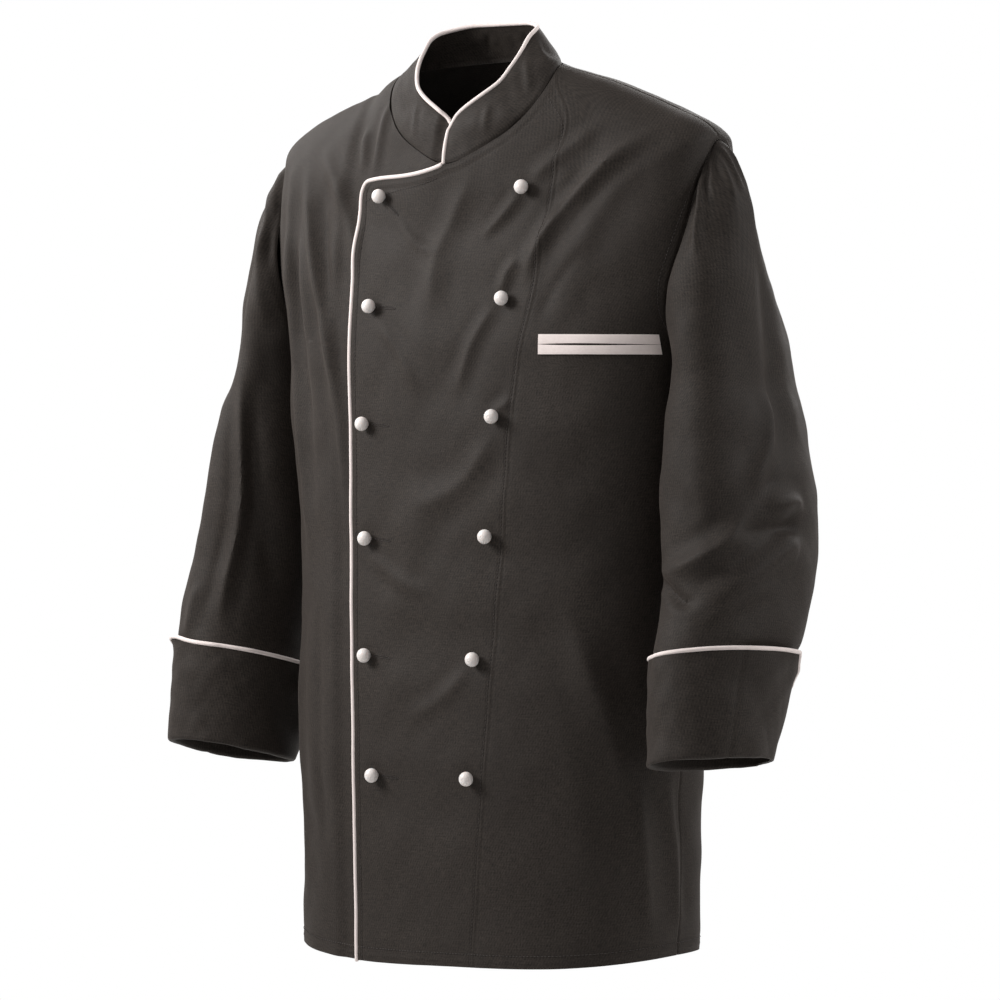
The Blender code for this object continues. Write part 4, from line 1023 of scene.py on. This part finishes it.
# -------------------- stitches
def stitch_tree():
    """Evenly spaced thread stitches along every line of a piece."""
    tree = bpy.data.node_groups.new("sewn_line", "GeometryNodeTree")
    for name, kind in (("Lines", "Geometry"), ("Pitch", "Float"), ("Stitch", "Float"),
                       ("Thread", "Float"), ("Finish", "Material")):
        tree.interface.new_socket(name=name, in_out="INPUT", socket_type="NodeSocket" + kind)
    tree.interface.new_socket(name="Stitches", in_out="OUTPUT", socket_type="NodeSocketGeometry")
    start = node(tree, "NodeGroupInput").outputs
    lines = node(tree, "GeometryNodeMeshToCurve", {"Mesh": start["Lines"]})
    even = node(tree, "GeometryNodeResampleCurve",
                {"Curve": lines.outputs[0], "Length": start["Pitch"]}, mode="LENGTH")
    ball = node(tree, "GeometryNodeMeshUVSphere", {"Segments": 6, "Rings": 5, "Radius": 0.5})
    size = node(tree, "ShaderNodeCombineXYZ",
                {0: start["Stitch"], 1: start["Thread"], 2: start["Thread"]})
    sized = node(tree, "GeometryNodeTransform",
                 {"Geometry": ball.outputs[0], "Scale": size.outputs[0]})
    way = node(tree, "GeometryNodeInputTangent")
    turn = node(tree, "FunctionNodeAlignRotationToVector", {"Vector": way.outputs[0]}, axis="X")
    placed = node(tree, "GeometryNodeInstanceOnPoints",
                  {"Points": even.outputs[0], "Instance": sized.outputs[0],
                   "Rotation": turn.outputs[0]})
    real = node(tree, "GeometryNodeRealizeInstances", {0: placed.outputs[0]})
    coat = node(tree, "GeometryNodeSetMaterial",
                {"Geometry": real.outputs[0], "Material": start["Finish"]})
    soft = node(tree, "GeometryNodeSetShadeSmooth", {"Geometry": coat.outputs[0]})
    node(tree, "NodeGroupOutput", {"Stitches": soft.outputs[0]})
    return tree


SEWING = stitch_tree()


def sewn(name, lines, pitch=0.0032, stitch=0.0026, thread=0.00062):
    """Stitches along lines of points, as one plain mesh."""
    edges, first = [], 0
    for line in lines:
        edges += [(first + i, first + i + 1) for i in range(len(line) - 1)]
        first += len(line)
    route = bpy.data.meshes.new(name + "_route")
    route.from_pydata(np.concatenate(lines).tolist(), edges, [])
    carrier = bpy.data.objects.new(name + "_route", route)
    bpy.context.scene.collection.objects.link(carrier)
    modifier = carrier.modifiers.new("sewn", "NODES")
    modifier.node_group = SEWING
    values = {"Pitch": pitch, "Stitch": stitch, "Thread": thread, "Finish": DARK_THREAD}
    for item in SEWING.interface.items_tree:
        if item.in_out == "INPUT" and item.name in values:
            modifier[item.identifier] = values[item.name]
    found = carrier.evaluated_get(bpy.context.evaluated_depsgraph_get())
    mesh = bpy.data.meshes.new_from_object(found)
    mesh.name = name
    bpy.data.objects.remove(carrier)
    bpy.data.meshes.remove(route)
    if not mesh.materials:
        mesh.materials.append(DARK_THREAD)
    keep(name, mesh, "anthracite_twill")


# -------------------- piping
PIPING = 0.0037            # diameter of the piping
PIPING_OUT = PIPING / 2 + 0.0001    # its middle beyond the cloth's edge
PIPING_SINK = 0.0004       # middle of the front's piping below the overlap's outer face
PIPING_STOP_X = -0.0045    # the front's piping ends under the stand's over end
PIPING_STEP = 0.0016       # between the rings of the front's piping
RIM_STEPS, END_STEPS = 240, 16
RIM_PIPING_END = 2 * math.pi - math.radians(2.5)
CORD_SIDES = 14
CORD_DOME = np.array((0.35, 0.7, 0.93))    # places of an end's rings, as shares of the radius


def cord(name, route, closed=False):
    """A round piping cord along a route, its ends domed, with metre UVs."""
    along = unit(np.roll(route, -1, axis=0) - np.roll(route, 1, axis=0) if closed
                 else np.gradient(route, axis=0))
    side, one = np.cross(along[0], (0.3, 0.2, 1.0)), []
    for way in along:
        side = unit(side - way * (side @ way))
        one.append(side)
    one = np.array(one)
    two = np.cross(along, one)
    passed, radius = passed_along(route), np.full(len(route), PIPING / 2)
    seam_end = passed[-1] + 0.002
    if closed:
        twist = math.atan2(one[-1] @ two[0], one[-1] @ one[0])
        turn = (twist * np.arange(len(one)) / len(one))[:, None]
        one, two = (one * np.cos(turn) - two * np.sin(turn),
                    two * np.cos(turn) + one * np.sin(turn))
    else:
        reach, small = CORD_DOME * PIPING / 2, PIPING / 2 * np.sqrt(1 - CORD_DOME ** 2)
        route = np.concatenate((route[0] - along[0] * reach[::-1, None], route,
                                route[-1] + along[-1] * reach[:, None]))
        one, two = (np.pad(way, ((3, 3), (0, 0)), mode="edge") for way in (one, two))
        passed = np.concatenate((-reach[::-1], passed, passed[-1] + reach))
        radius = np.concatenate((small[::-1], radius, small))
    angles = np.linspace(0, 2 * math.pi, CORD_SIDES, endpoint=False)
    rings = (np.cos(angles)[:, None] * one[:, None] + np.sin(angles)[:, None] * two[:, None])
    points = (route[:, None] + radius[:, None, None] * rings).reshape(-1, 3)
    count, faces, spots = len(route), [], []
    for i in range(count if closed else count - 1):
        after = (i + 1) % count
        low, high = passed[i], passed[after] if after else seam_end
        for j, k in enumerate((*range(1, CORD_SIDES), 0)):
            corners = ((i, j), (i, k), (after, k), (after, j))
            faces.append([row * CORD_SIDES + at for row, at in corners])
            u0, u1 = angles[j] * PIPING / 2, (angles[j] + angles[1]) * PIPING / 2
            spots += [(u0, low), (u1, low), (u1, high), (u0, high)]
    if not closed:
        end = range((count - 1) * CORD_SIDES, count * CORD_SIDES)
        faces += [list(range(CORD_SIDES))[::-1], list(end)]
        spots += [(0.0, 0.0)] * (2 * CORD_SIDES)
    piece = name + "_cord"
    keep(piece, mesh_of(piece, points, faces, spots), "cream_piping", name)


def piping_front(turns, rings):
    """Follows the panel's own edge up its long side, round the corner and along its top."""
    line, facing = worn(turns, rings, -PIPING_SINK)
    shown = (line[:, 0] < PIPING_STOP_X + 0.003) | (line[:, 2] < -0.3)
    passed = passed_along(line[shown])
    even = np.arange(0.0, passed[-1], PIPING_STEP)
    line, facing = (np.stack([np.interp(even, passed, values[shown, i]) for i in range(3)], axis=1)
                    for values in (line, facing))
    aside = unit(np.cross(unit(facing), unit(np.gradient(line, axis=0))))
    for _ in range(6):
        aside[1:-1] = unit(aside[:-2] + aside[1:-1] * 2 + aside[2:])
    cord("piping_front", line + aside * PIPING_OUT)


def piping_collar():
    """Up the stand's over end, round its corner and along its rim."""
    end = np.full(END_STEPS, COLLAR_OVER_END)
    ups = np.linspace(0.04, 0.985, len(end))
    over_end = collar_surface(end, ups, -CLOTH / 2) - collar_direction(end) * PIPING_OUT
    turns = np.linspace(end[0], RIM_PIPING_END, RIM_STEPS)
    top = collar_surface(turns, 1.0, -CLOTH / 2)
    rise = top - collar_surface(turns, 0.9, -CLOTH / 2)
    along = unit(np.gradient(top, axis=0))
    rise = unit(rise - along * np.sum(rise * along, axis=-1)[:, None])
    side = collar_direction(end[:1])[0]
    corner = [top[0] + unit(rise[0] * share - side * (1 - share)) * PIPING_OUT
              for share in np.linspace(0.15, 0.85, 6)]
    cord("piping_collar", np.concatenate((over_end, corner, (top + rise * PIPING_OUT)[1:])))


# -------------------- body panels and collar
COLLAR_COLUMNS = 260
COLLAR_SEAM = 0.05         # share of the stand's height that rolls into the neck seam
COLLAR_WAVE_PACE, COLLAR_WAVE_RISE = 1.6, 1.3
COLLAR_UPS = np.concatenate((np.linspace(0, 0.12, 5), np.linspace(0.16, 0.84, 14),
                             np.linspace(0.88, 1, 5)))


def front_left_centre():
    """The overlapping panel; returns the turns and rings of its long and top edges."""
    turn, ring = [], []
    for level in LEVELS:
        start = float(line_at("overlap_edge", level * OVERLAP_CORNER))
        below = (1 - level) * OVERLAP_CORNER * YOKE_PACE
        if below < CORNER_ROUND:
            start += CORNER_ROUND - math.sqrt(CORNER_ROUND ** 2 - (CORNER_ROUND - below) ** 2)
        x = start + spaced(float(line_at("princess", level)) - start, CENTRE_COLUMNS)
        ring.append(level * top_ring(x))
        turn.append(turn_at_x(x, ring[-1]))
        turn[-1][-1] = shut_inset(turn[-1][-1], ring[-1][-1], -1)
    turn, ring = np.array(turn), np.array(ring)
    panel("front_left_centre", turn, ring,
          lambda p: (((p[:, -1], PRINCESS_DIP),),
                     ((p[:, 0], LONG_STITCH), (p[:, -1], STITCH_IN), (p[-1], TOP_STITCH),
                      (p[0], HEM_STITCH))))
    return [np.concatenate((grid[:, 0], grid[-1, 1:])) for grid in (turn, ring)]


def front_rows(start_at, columns):
    """Turns of a front's rows, from a start to the side seam or the armhole's edge."""
    rows = []
    for level, edge in zip(LEVELS, side_edge(1)):
        side_line = shut_inset(math.pi / 2, level, -1)
        rows.append(across_row(level, start_at(level), side_line, min(edge, side_line), columns))
    return np.array(rows), np.repeat(LEVELS[:, None], len(rows[0]), axis=1)


def front_left_side():
    turn, ring = front_rows(
        lambda level: shut_inset(float(turn_at_x(line_at("princess", level), level)), level, 1),
        SIDE_COLUMNS)
    panel("front_left_side", turn, ring,
          lambda p: (((p[:, 0], PRINCESS_DIP), (p[:, -1], SEAM_DIP)),
                     ((hole_part(p, -1), ARMHOLE_STITCH), (p[0], HEM_STITCH))))


def front_right():
    turn, ring = front_rows(
        lambda level: float(turn_at_x(-line_at("underlap_edge", level), level)), RIGHT_COLUMNS)
    turn = -turn[:, ::-1]
    panel("front_right", turn, ring,
          lambda p: (((p[:, 0], SEAM_DIP),),
                     ((hole_part(p, 0), ARMHOLE_STITCH), (p[0], HEM_STITCH))),
          underlap_depth(body_plain(turn, ring)[..., 0], ring))


def back():
    turn = []
    for level, edge in zip(LEVELS, side_edge(-1)):
        side_line = shut_inset(math.pi / 2, level, 1)
        edge = max(edge, side_line) if UNDERARM < level < TIP else side_line
        half = across_row(level, math.pi, side_line, edge, BACK_COLUMNS)[::-1]
        turn.append(np.concatenate((half, 2 * math.pi - half[-2::-1])))
    turn = np.array(turn)
    panel("back", turn, np.repeat(LEVELS[:, None], turn.shape[1], axis=1),
          lambda p: (((p[:, 0], SEAM_DIP), (p[:, -1], SEAM_DIP)),
                     ((hole_part(p, 0), ARMHOLE_STITCH), (hole_part(p, -1), ARMHOLE_STITCH),
                      (p[0], HEM_STITCH))))


def collar():
    turns = np.linspace(COLLAR_OVER_END, COLLAR_UNDER_END, COLLAR_COLUMNS + 1)
    walls = []
    for up in COLLAR_UPS:
        plain = collar_surface(turns, up)
        lift = waviness(plain * COLLAR_WAVE_PACE) * COLLAR_WAVE_RISE
        lift = (lift + crease_relief(plain, COLLAR_LINES)) * math.sin(math.pi * up) ** 0.7
        lift = lift - SEAM_DIP * bump(up / COLLAR_SEAM)
        walls.append((collar_surface(turns, up, lift), collar_surface(turns, up, lift - SHELL)))
    outer, inner = np.array(walls).swapaxes(0, 1)
    cloth("collar", outer, inner)


# -------------------- sleeves and cuffs
SLEEVE_COLUMNS = 184
SLEEVE_ANGLES = np.linspace(0, 2 * math.pi, SLEEVE_COLUMNS, endpoint=False)
HEAD_ROWS, ARM_ROWS = 46, 112
HEAD_LENGTH = 0.11         # metres from the armhole's edge to the first arm ring
HEAD_FOLLOW = 0.25         # share of that over which the head follows the torso's relief
HEAD_OFF = 0.0002          # its first row away from the armhole's edge
HEAD_SEAM_DIP = 0.8        # share of a seam's usual dip in the armhole seam
HEAD_SEAM_WIDE = 0.006     # down
WAVE_START = 0.03
HIDDEN_CALM = 0.75         # share of the relief that is left out inside the cuff
JOIN_ABOVE, JOIN_BELOW = 30, 22    # rows that are evened out across the head's lower end
JOIN_REACH, JOIN_SOFT = 26, 7.0
SLIM_TURN, SLIM_WIDTH = -42, 36    # the wearer's-left sleeve is slimmer here, in degrees
SLEEVE_SLIM = ((.02, .06, .10, .13, .17, .22, .27, .40, .50, .56),    # down, and by how much
               (0, .0045, .0085, .0095, .0075, .0030, .0015, .0030, .0020, 0))
SLEEVE_WAVES = {"left": 1.25, "right": 1.15}
SEAM_GAP = 0.0003          # the model's space between neighbouring pieces
CUFF_TOP = 0.72            # step of the cuff's top edge down the sleeve
CUFF_INSIDE = 0.030        # how far the cuff runs up inside the sleeve
CUFF_LIFT = 0.0036         # turned-up layer away from the layer beneath, middle to middle
CUFF_STAND = 0.0006        # how far the turned-up edge stands off all round
CUFF_GAPE = 0.0045         # and how much further behind the arm
CUFF_GAPE_TURN = -1.2      # where it gapes most, radians from outside to front
CUFF_GAPE_WIDTH = 0.7
CUFF_FOLD = 0.985          # step at which the wrist fold starts
CUFF_FOLD_DIP = 0.008      # and how far it reaches past that
CUFF_NOTCH = 0.026         # the turned-up edge dips this far
CUFF_NOTCH_TURN = -62      # here, degrees from outside to front
CUFF_NOTCH_WIDTH = 34
CUFF_CORNER_TURN = 58      # the turned-up edge stands out here by "corner"
CUFF_REACH_TURN = -143     # and the whole cuff by "reach"
CORNER_WIDTH, TUCK_WIDTH, REACH_WIDTH = 0.4, 0.7, 0.6    # radians
CORNER_RAISE = 0.7         # share of the corner's stand by which the edge rises there
CUFF_RADIUS = 0.05
CUFF_SEAM_DIP, CUFF_SEAM_WIDE = 0.0009, 0.0020
CUFF_WAVE_PACE, CUFF_WAVE_RISE = 1.5, 1.6
CUFFS = {                  # tuck: how far the wrist end draws in below the notch; seam in degrees
    "left": {"seam": 32, "reach": 0.0, "corner": 0.0, "tuck": 0.0045},
    "right": {"seam": -20, "reach": 0.0065, "corner": 0.0065, "tuck": 0.0},
}
HIDDEN_FROM = CAP_SHARE + (1 - CAP_SHARE) * (CUFF_TOP + 0.02)    # the cuff hides what is below


def mirrored(grid, side):
    return grid * np.array((1.0 if side == "left" else -1.0, 1.0, 1.0))


def cuff_pace(side):
    """Steps per metre along the cuff."""
    run = arm_middle(side, 1.0) - arm_middle(side, CUFF_TOP)
    return (1.0 - CUFF_TOP) / float(np.linalg.norm(run))


def sleeve_end(side):
    """Step at which the sleeve meets the part of the cuff that runs up inside it."""
    return 1.0 - CUFF_INSIDE * cuff_pace(side)


def evened(grid, join):
    """Evens out the rows on both sides of a join, most of all at the join itself."""
    joined, along = grid.copy(), np.arange(len(grid))
    for row in range(join - JOIN_ABOVE, join + JOIN_BELOW):
        near = 1 - abs(row - join + 4) / JOIN_REACH
        weight = np.exp(-0.5 * ((along - row) / max(JOIN_SOFT * near, 0.3)) ** 2)
        joined[row] = np.tensordot(weight / weight.sum(), grid, 1)
    return joined


def sleeve(side):
    head = np.concatenate((NEAR_EDGE / HEAD_LENGTH, np.linspace(0.12, 1, HEAD_ROWS)))
    steps = np.linspace(0, sleeve_end(side), ARM_ROWS)[1:]
    grid = np.array([cap(side, SLEEVE_ANGLES, part) for part in head]
                    + [arm(side, SLEEVE_ANGLES, step) for step in steps])
    grid = evened(grid, len(head))
    share = np.concatenate((CAP_SHARE * head, CAP_SHARE + (1 - CAP_SHARE) * steps))
    angle, down = np.meshgrid(SLEEVE_ANGLES, share)
    relief = sleeve_folds(side, angle, down) * SLEEVE_FOLD_SHARE
    relief += crease_relief(grid, SLEEVE_LINES[side])
    relief += waviness(grid * SLEEVE_WAVES[side]) * ease(down / WAVE_START)
    relief -= SEAM_DIP * HEAD_SEAM_DIP * bump(np.minimum(down / HEAD_SEAM_WIDE, 9))
    if side == "left":
        slim = bump(beside(angle, SLIM_TURN) / math.radians(SLIM_WIDTH))
        relief -= np.interp(down, *SLEEVE_SLIM) * slim
    relief *= 1 - HIDDEN_CALM * ease((share - HIDDEN_FROM) / 0.03)[:, None]
    grid = grid + grid_normals(grid) * relief[..., None]
    ring, turn = armhole(SLEEVE_ANGLES)
    torso_out = outward(turn, ring)
    lift = torso_out * worn_lift(body_plain(turn, ring), turn)[..., None]
    for row, left in enumerate(1 - ease(head / HEAD_FOLLOW)):
        grid[row] += lift * left
    grid[0] += unit(unit(grid[1] - grid[0]) + torso_out) * HEAD_OFF
    outer, inner = (mirrored(grid - grid_normals(grid) * deep, side) for deep in (0.0, SHELL))
    cloth("sleeve_" + side, outer, inner, wraps=True,
          turned=side == "right")


def cuff_profile(side):
    """Steps and lifts of the cuff's rows: down the turned-up layer, round the fold, up inside."""
    near = CUFF_TOP + NEAR_EDGE[:8] * cuff_pace(side)
    rows = [(step, 1.0) for step in (*near, *np.linspace(near[-1], CUFF_FOLD, 26)[1:])]
    for turn in np.radians(range(18, 180, 18)):
        rows.append((CUFF_FOLD + CUFF_FOLD_DIP * math.sin(turn), 0.5 + 0.5 * math.cos(turn)))
    low = sleeve_end(side) + SEAM_GAP * cuff_pace(side)
    return rows + [(step, 0.0) for step in np.linspace(CUFF_FOLD, low, 8)]


def cuff_middle(side):
    """The cuff's layer, its turned-up edge dipping into a notch behind the arm."""
    own, angles, rows = CUFFS[side], SLEEVE_ANGLES, cuff_profile(side)
    behind = beside(angles, CUFF_NOTCH_TURN)
    notch = CUFF_NOTCH * np.clip(1 - np.abs(behind) / math.radians(CUFF_NOTCH_WIDTH), 0, 1) ** 0.7
    corner = own["corner"] * bump(beside(angles, CUFF_CORNER_TURN) / CORNER_WIDTH)
    tuck = own["tuck"] * bump(behind / TUCK_WIDTH)
    reach = own["reach"] * bump(beside(angles, CUFF_REACH_TURN) / REACH_WIDTH)
    gape = beside(angles - CUFF_GAPE_TURN, 0) / CUFF_GAPE_WIDTH
    stand = CUFF_STAND + CUFF_GAPE * bump(gape)
    dip = (notch - CORNER_RAISE * corner) * cuff_pace(side)
    middle = []
    for step, lift in rows:
        part = np.clip((CUFF_FOLD - step) / (CUFF_FOLD - CUFF_TOP), 0, 1)
        places = step + dip * part * (lift > 0.99)
        flare = stand * np.clip((1.0 - places) / (1.0 - CUFF_TOP), 0, 1) ** 1.5
        flare = flare + corner * part ** 3 - tuck * (1 - part)
        middle.append(arm(side, angles, places, lift * (CUFF_LIFT + flare) - CLOTH / 2 + reach))
    middle = np.array(middle)
    seam = CUFF_SEAM_DIP * bump(beside(angles, own["seam"]) * CUFF_RADIUS / CUFF_SEAM_WIDE)
    soft = waviness(middle * CUFF_WAVE_PACE) * CUFF_WAVE_RISE - seam
    soft = soft * np.array([lift for _, lift in rows])[:, None]
    return middle + grid_normals(middle) * soft[..., None]


def cuff(side):
    middle = cuff_middle(side)
    half = grid_normals(middle) * (SHELL / 2)
    cloth("cuff_" + side, mirrored(middle + half, side), mirrored(middle - half, side),
          wraps=True, turned=side == "right")
    ring = middle[0] + unit(middle[0] - middle[6]) * PIPING_OUT
    cord("piping_cuff_" + side, mirrored(ring, side), closed=True)


# -------------------- pocket, buttons, buttonholes
WELT_HEIGHT = 0.0079
WELT_SLIT = 0.0012
WELT_GAPE = 0.0008         # the slit stands this far open at its middle, each side
WELT_LIFT = 0.0006         # welt above its panel
WELT_WALL = 0.0014
WELT_PUFF = 0.0003
POCKET_LINE = -0.2450      # height of the pocket's slit
POCKET_INNER_X, POCKET_OUTER_X = 0.1135, 0.2020
BALL = 0.0127              # diameter of a ball button
BALL_FLATTEN = 0.90        # height of the ball as a share of its width
BUTTON_SIDES = 32
SHANK = 0.0046             # diameter of the button's shank
SHANK_SHOW = 0.0012        # shank between cloth and ball
HOLE_LONG, HOLE_HIGH = 0.0200, 0.0019
THREAD_OUT = 0.0001        # stitches' middle above the cloth


def welt(name, sign):
    """One white welt above (sign 1) or below the slit: a folded strip, puffed, its ends down."""
    x, part = np.meshgrid(np.linspace(POCKET_INNER_X, POCKET_OUTER_X, 60), np.linspace(0, 1, 11))
    along = (x - POCKET_INNER_X) / (POCKET_OUTER_X - POCKET_INNER_X)
    gape = WELT_GAPE * np.sin(math.pi * along ** 0.8) - WELT_SLIT / 2 + 0.0001
    from_slit = part if sign > 0 else 1 - part
    height = (POCKET_LINE + sign * (WELT_SLIT / 2 + WELT_HEIGHT * from_slit)
              + sign * gape * (1 - from_slit) ** 2)
    ends = np.minimum(x - POCKET_INNER_X, POCKET_OUTER_X - x)
    puff = WELT_PUFF * np.sin(math.pi * part) ** 0.5 * ease(ends / 0.004) + WELT_LIFT
    base, facing = on_front(x, height, 0.0)
    shell(name + "_strip", name, base + facing * (puff + WELT_WALL * 0.6)[..., None],
          base + facing * 0.0001, "cream_piping")


def button(name, x, height):
    """A turned ball with a faint dimple, on a short shank."""
    place, facing = on_front(np.array([x]), np.array([height]), 0.0001)
    ball, high = BALL / 2, BALL / 2 * BALL_FLATTEN
    centre = SHANK_SHOW + high
    profile = [(0.0006, centre + high - 0.0003), (0.0011, centre + high - 0.00006)]
    profile += [(ball * math.cos(turn), centre + high * math.sin(turn))
                for turn in np.radians(range(78, -66, -8))]
    profile += [(SHANK / 2 + 0.0006, SHANK_SHOW + 0.0006), (SHANK / 2, SHANK_SHOW),
                (SHANK / 2, 0.0)]
    points = [(0, 0, centre + high - 0.00035)]
    for radius, level in profile:
        points += [(radius * math.cos(a), radius * math.sin(a), level)
                   for a in 2 * math.pi * np.arange(BUTTON_SIDES) / BUTTON_SIDES]
    points.append((0, 0, 0))
    turn = Vector((0, 0, 1)).rotation_difference(Vector(facing[0])).to_matrix()
    points = np.array(points) @ np.array(turn).T + place[0]
    rings = 1 + np.arange(len(profile) * BUTTON_SIDES).reshape(-1, BUTTON_SIDES)
    faces, last = [], len(points) - 1
    for j, k in enumerate((*range(1, BUTTON_SIDES), 0)):
        faces.append((0, rings[0, j], rings[0, k]))
        faces += [(over[j], under[j], under[k], over[k]) for over, under in zip(rings, rings[1:])]
        faces.append((rings[-1, j], last, rings[-1, k]))
    mesh = mesh_of(name, points, [[int(i) for i in face] for face in faces])
    mesh.set_sharp_from_angle(angle=math.radians(60))
    keep(name + "_ball", mesh, "white_button", name)


def buttonholes():
    """A lens-shaped line of close stitches beside each outer button."""
    around = np.linspace(0, 2 * math.pi, 41)
    lines = []
    for row, (x, height, _, _) in enumerate(BUTTON_ROWS):
        slope, aside, drop = (-0.75, 0.0120, 0.0105) if row == 0 else (-0.08, 0.0165, 0.0008)
        lean = np.cos(around) * HOLE_LONG / 2 / math.hypot(1, slope)
        lines.append(on_front(x + aside + lean, height - drop + np.sin(around) * HOLE_HIGH / 2
                              + slope * lean, THREAD_OUT)[0])
    sewn("buttonhole_stitches", lines, pitch=0.0008, stitch=0.0007, thread=0.0008)


# -------------------- stitch lines
def front_lines():
    """Topstitching along the overlap's long edge, its top edge and the princess seam."""
    seam = LEVELS[3:-4]
    edge = seam * OVERLAP_CORNER
    top_x = np.linspace(float(line_at("overlap_edge", OVERLAP_CORNER)) + 0.006, -0.010, 50)
    lines = ((line_at("overlap_edge", edge) + LONG_STITCH, edge),
             (top_x, top_ring(top_x) - TOP_STITCH / YOKE_PACE * 0.9),
             (line_at("princess", seam) - STITCH_IN, seam))
    return [worn(turn_at_x(x, rings), rings, THREAD_OUT)[0] for x, rings in lines]


def hem_lines():
    ring = HEM_STITCH * HEM_PACE
    turns = np.linspace(math.radians(-20), math.radians(338), 420)
    left = turns[turns > float(turn_at_x(line_at("overlap_edge", ring), ring))]
    return [worn(left, np.full(len(left), ring), THREAD_OUT)[0]]


def armhole_lines():
    ring, turn = armhole(np.linspace(0, 2 * math.pi, 160), ARMHOLE_STITCH)
    return [worn(sign * turn, ring, THREAD_OUT)[0] for sign in (1, -1)]


# -------------------- camera, light, floor
CAMERA_PLACE, CAMERA_AIM = (2.5568, -3.3321, -0.2550), (-0.0028, -0.0021, -0.3824)
LENS_MM, SENSOR_MM = 170.85, 36.0
LIGHT_AIM = (-0.03, 0.0, -0.32)
WORLD_LIGHT = 0.34
FLOOR_Z, FLOOR_RADIUS, FLOOR_SIDES = -1.45, 4.3, 96
SOFTBOXES = (              # name, place, size, power in watts and spread in degrees
    ("key_softbox", (-1.16, -1.26, 0.54), 0.8, 18, 120),
    ("side_softbox", (-1.59, 0.00, 0.77), 0.9, 8.5, 120),
    ("top_softbox", (0.16, -1.07, 1.24), 0.9, 2.5, 120),
    ("rim_softbox", (1.46, 0.86, 0.48), 0.9, 7.5, 120),
    ("back_softbox", (-0.9, 2.8, 1.0), 2.0, 60, 180),
)


def aimed(name, data, place, aim):
    """An object that looks from a place at its aim."""
    made = bpy.data.objects.new(name, data)
    made.location = place
    made.rotation_euler = (Vector(aim) - Vector(place)).to_track_quat("-Z", "Y").to_euler()
    bpy.context.scene.collection.objects.link(made)
    return made


def camera():
    data = bpy.data.cameras.new("camera")
    data.lens, data.sensor_width = LENS_MM, SENSOR_MM
    bpy.context.scene.camera = aimed("camera", data, CAMERA_PLACE, CAMERA_AIM)


def studio():
    for name, place, size, power, spread in SOFTBOXES:
        data = bpy.data.lights.new(name, "AREA")
        data.shape, data.size, data.size_y, data.energy = "RECTANGLE", size, size, power
        data.spread = math.radians(spread)
        aimed(name, data, place, LIGHT_AIM)
    world = bpy.data.worlds.new("studio")
    world.use_nodes = True
    bpy.context.scene.world = world
    tree = world.node_tree
    sky = tree.nodes["Background"]
    sky.inputs["Color"].default_value = (1, 1, 1, 1)
    sky.inputs["Strength"].default_value = WORLD_LIGHT
    white = node(tree, "ShaderNodeBackground", {"Color": (1, 1, 1, 1), "Strength": 1.0})
    seen = node(tree, "ShaderNodeLightPath").outputs["Is Camera Ray"]
    both = node(tree, "ShaderNodeMixShader", {0: seen, 1: sky.outputs[0], 2: white.outputs[0]})
    tree.links.new(both.outputs[0], tree.nodes["World Output"].inputs["Surface"])
    bpy.context.scene.view_settings.view_transform = "Standard"


def floor():
    sheet = bmesh.new()
    bmesh.ops.create_circle(sheet, cap_ends=True, radius=FLOOR_RADIUS, segments=FLOOR_SIDES)
    for vertex in sheet.verts:
        vertex.co.z = FLOOR_Z
    mesh = bpy.data.meshes.new("floor")
    sheet.to_mesh(mesh)
    sheet.free()
    mesh.materials.append(painted_floor())
    made = bpy.data.objects.new("floor", mesh)
    bpy.context.scene.collection.objects.link(made)


# -------------------- the dressed jacket
camera()
studio()
floor()
overlap_edge = front_left_centre()
front_left_side()
front_right()
back()
collar()
for side in ("left", "right"):
    sleeve(side)
    cuff(side)
piping_front(*overlap_edge)
piping_collar()
welt("pocket_welt_upper", 1)
welt("pocket_welt_lower", -1)
for row, (outer_x, outer_z, inner_x, inner_z) in enumerate(BUTTON_ROWS, start=1):
    button(f"button_outer_{row}", outer_x, outer_z)
    button(f"button_inner_{row}", inner_x, inner_z)
sewn("front_topstitching", front_lines())
sewn("hem_stitching", hem_lines())
sewn("armhole_topstitching", armhole_lines())
buttonholes()
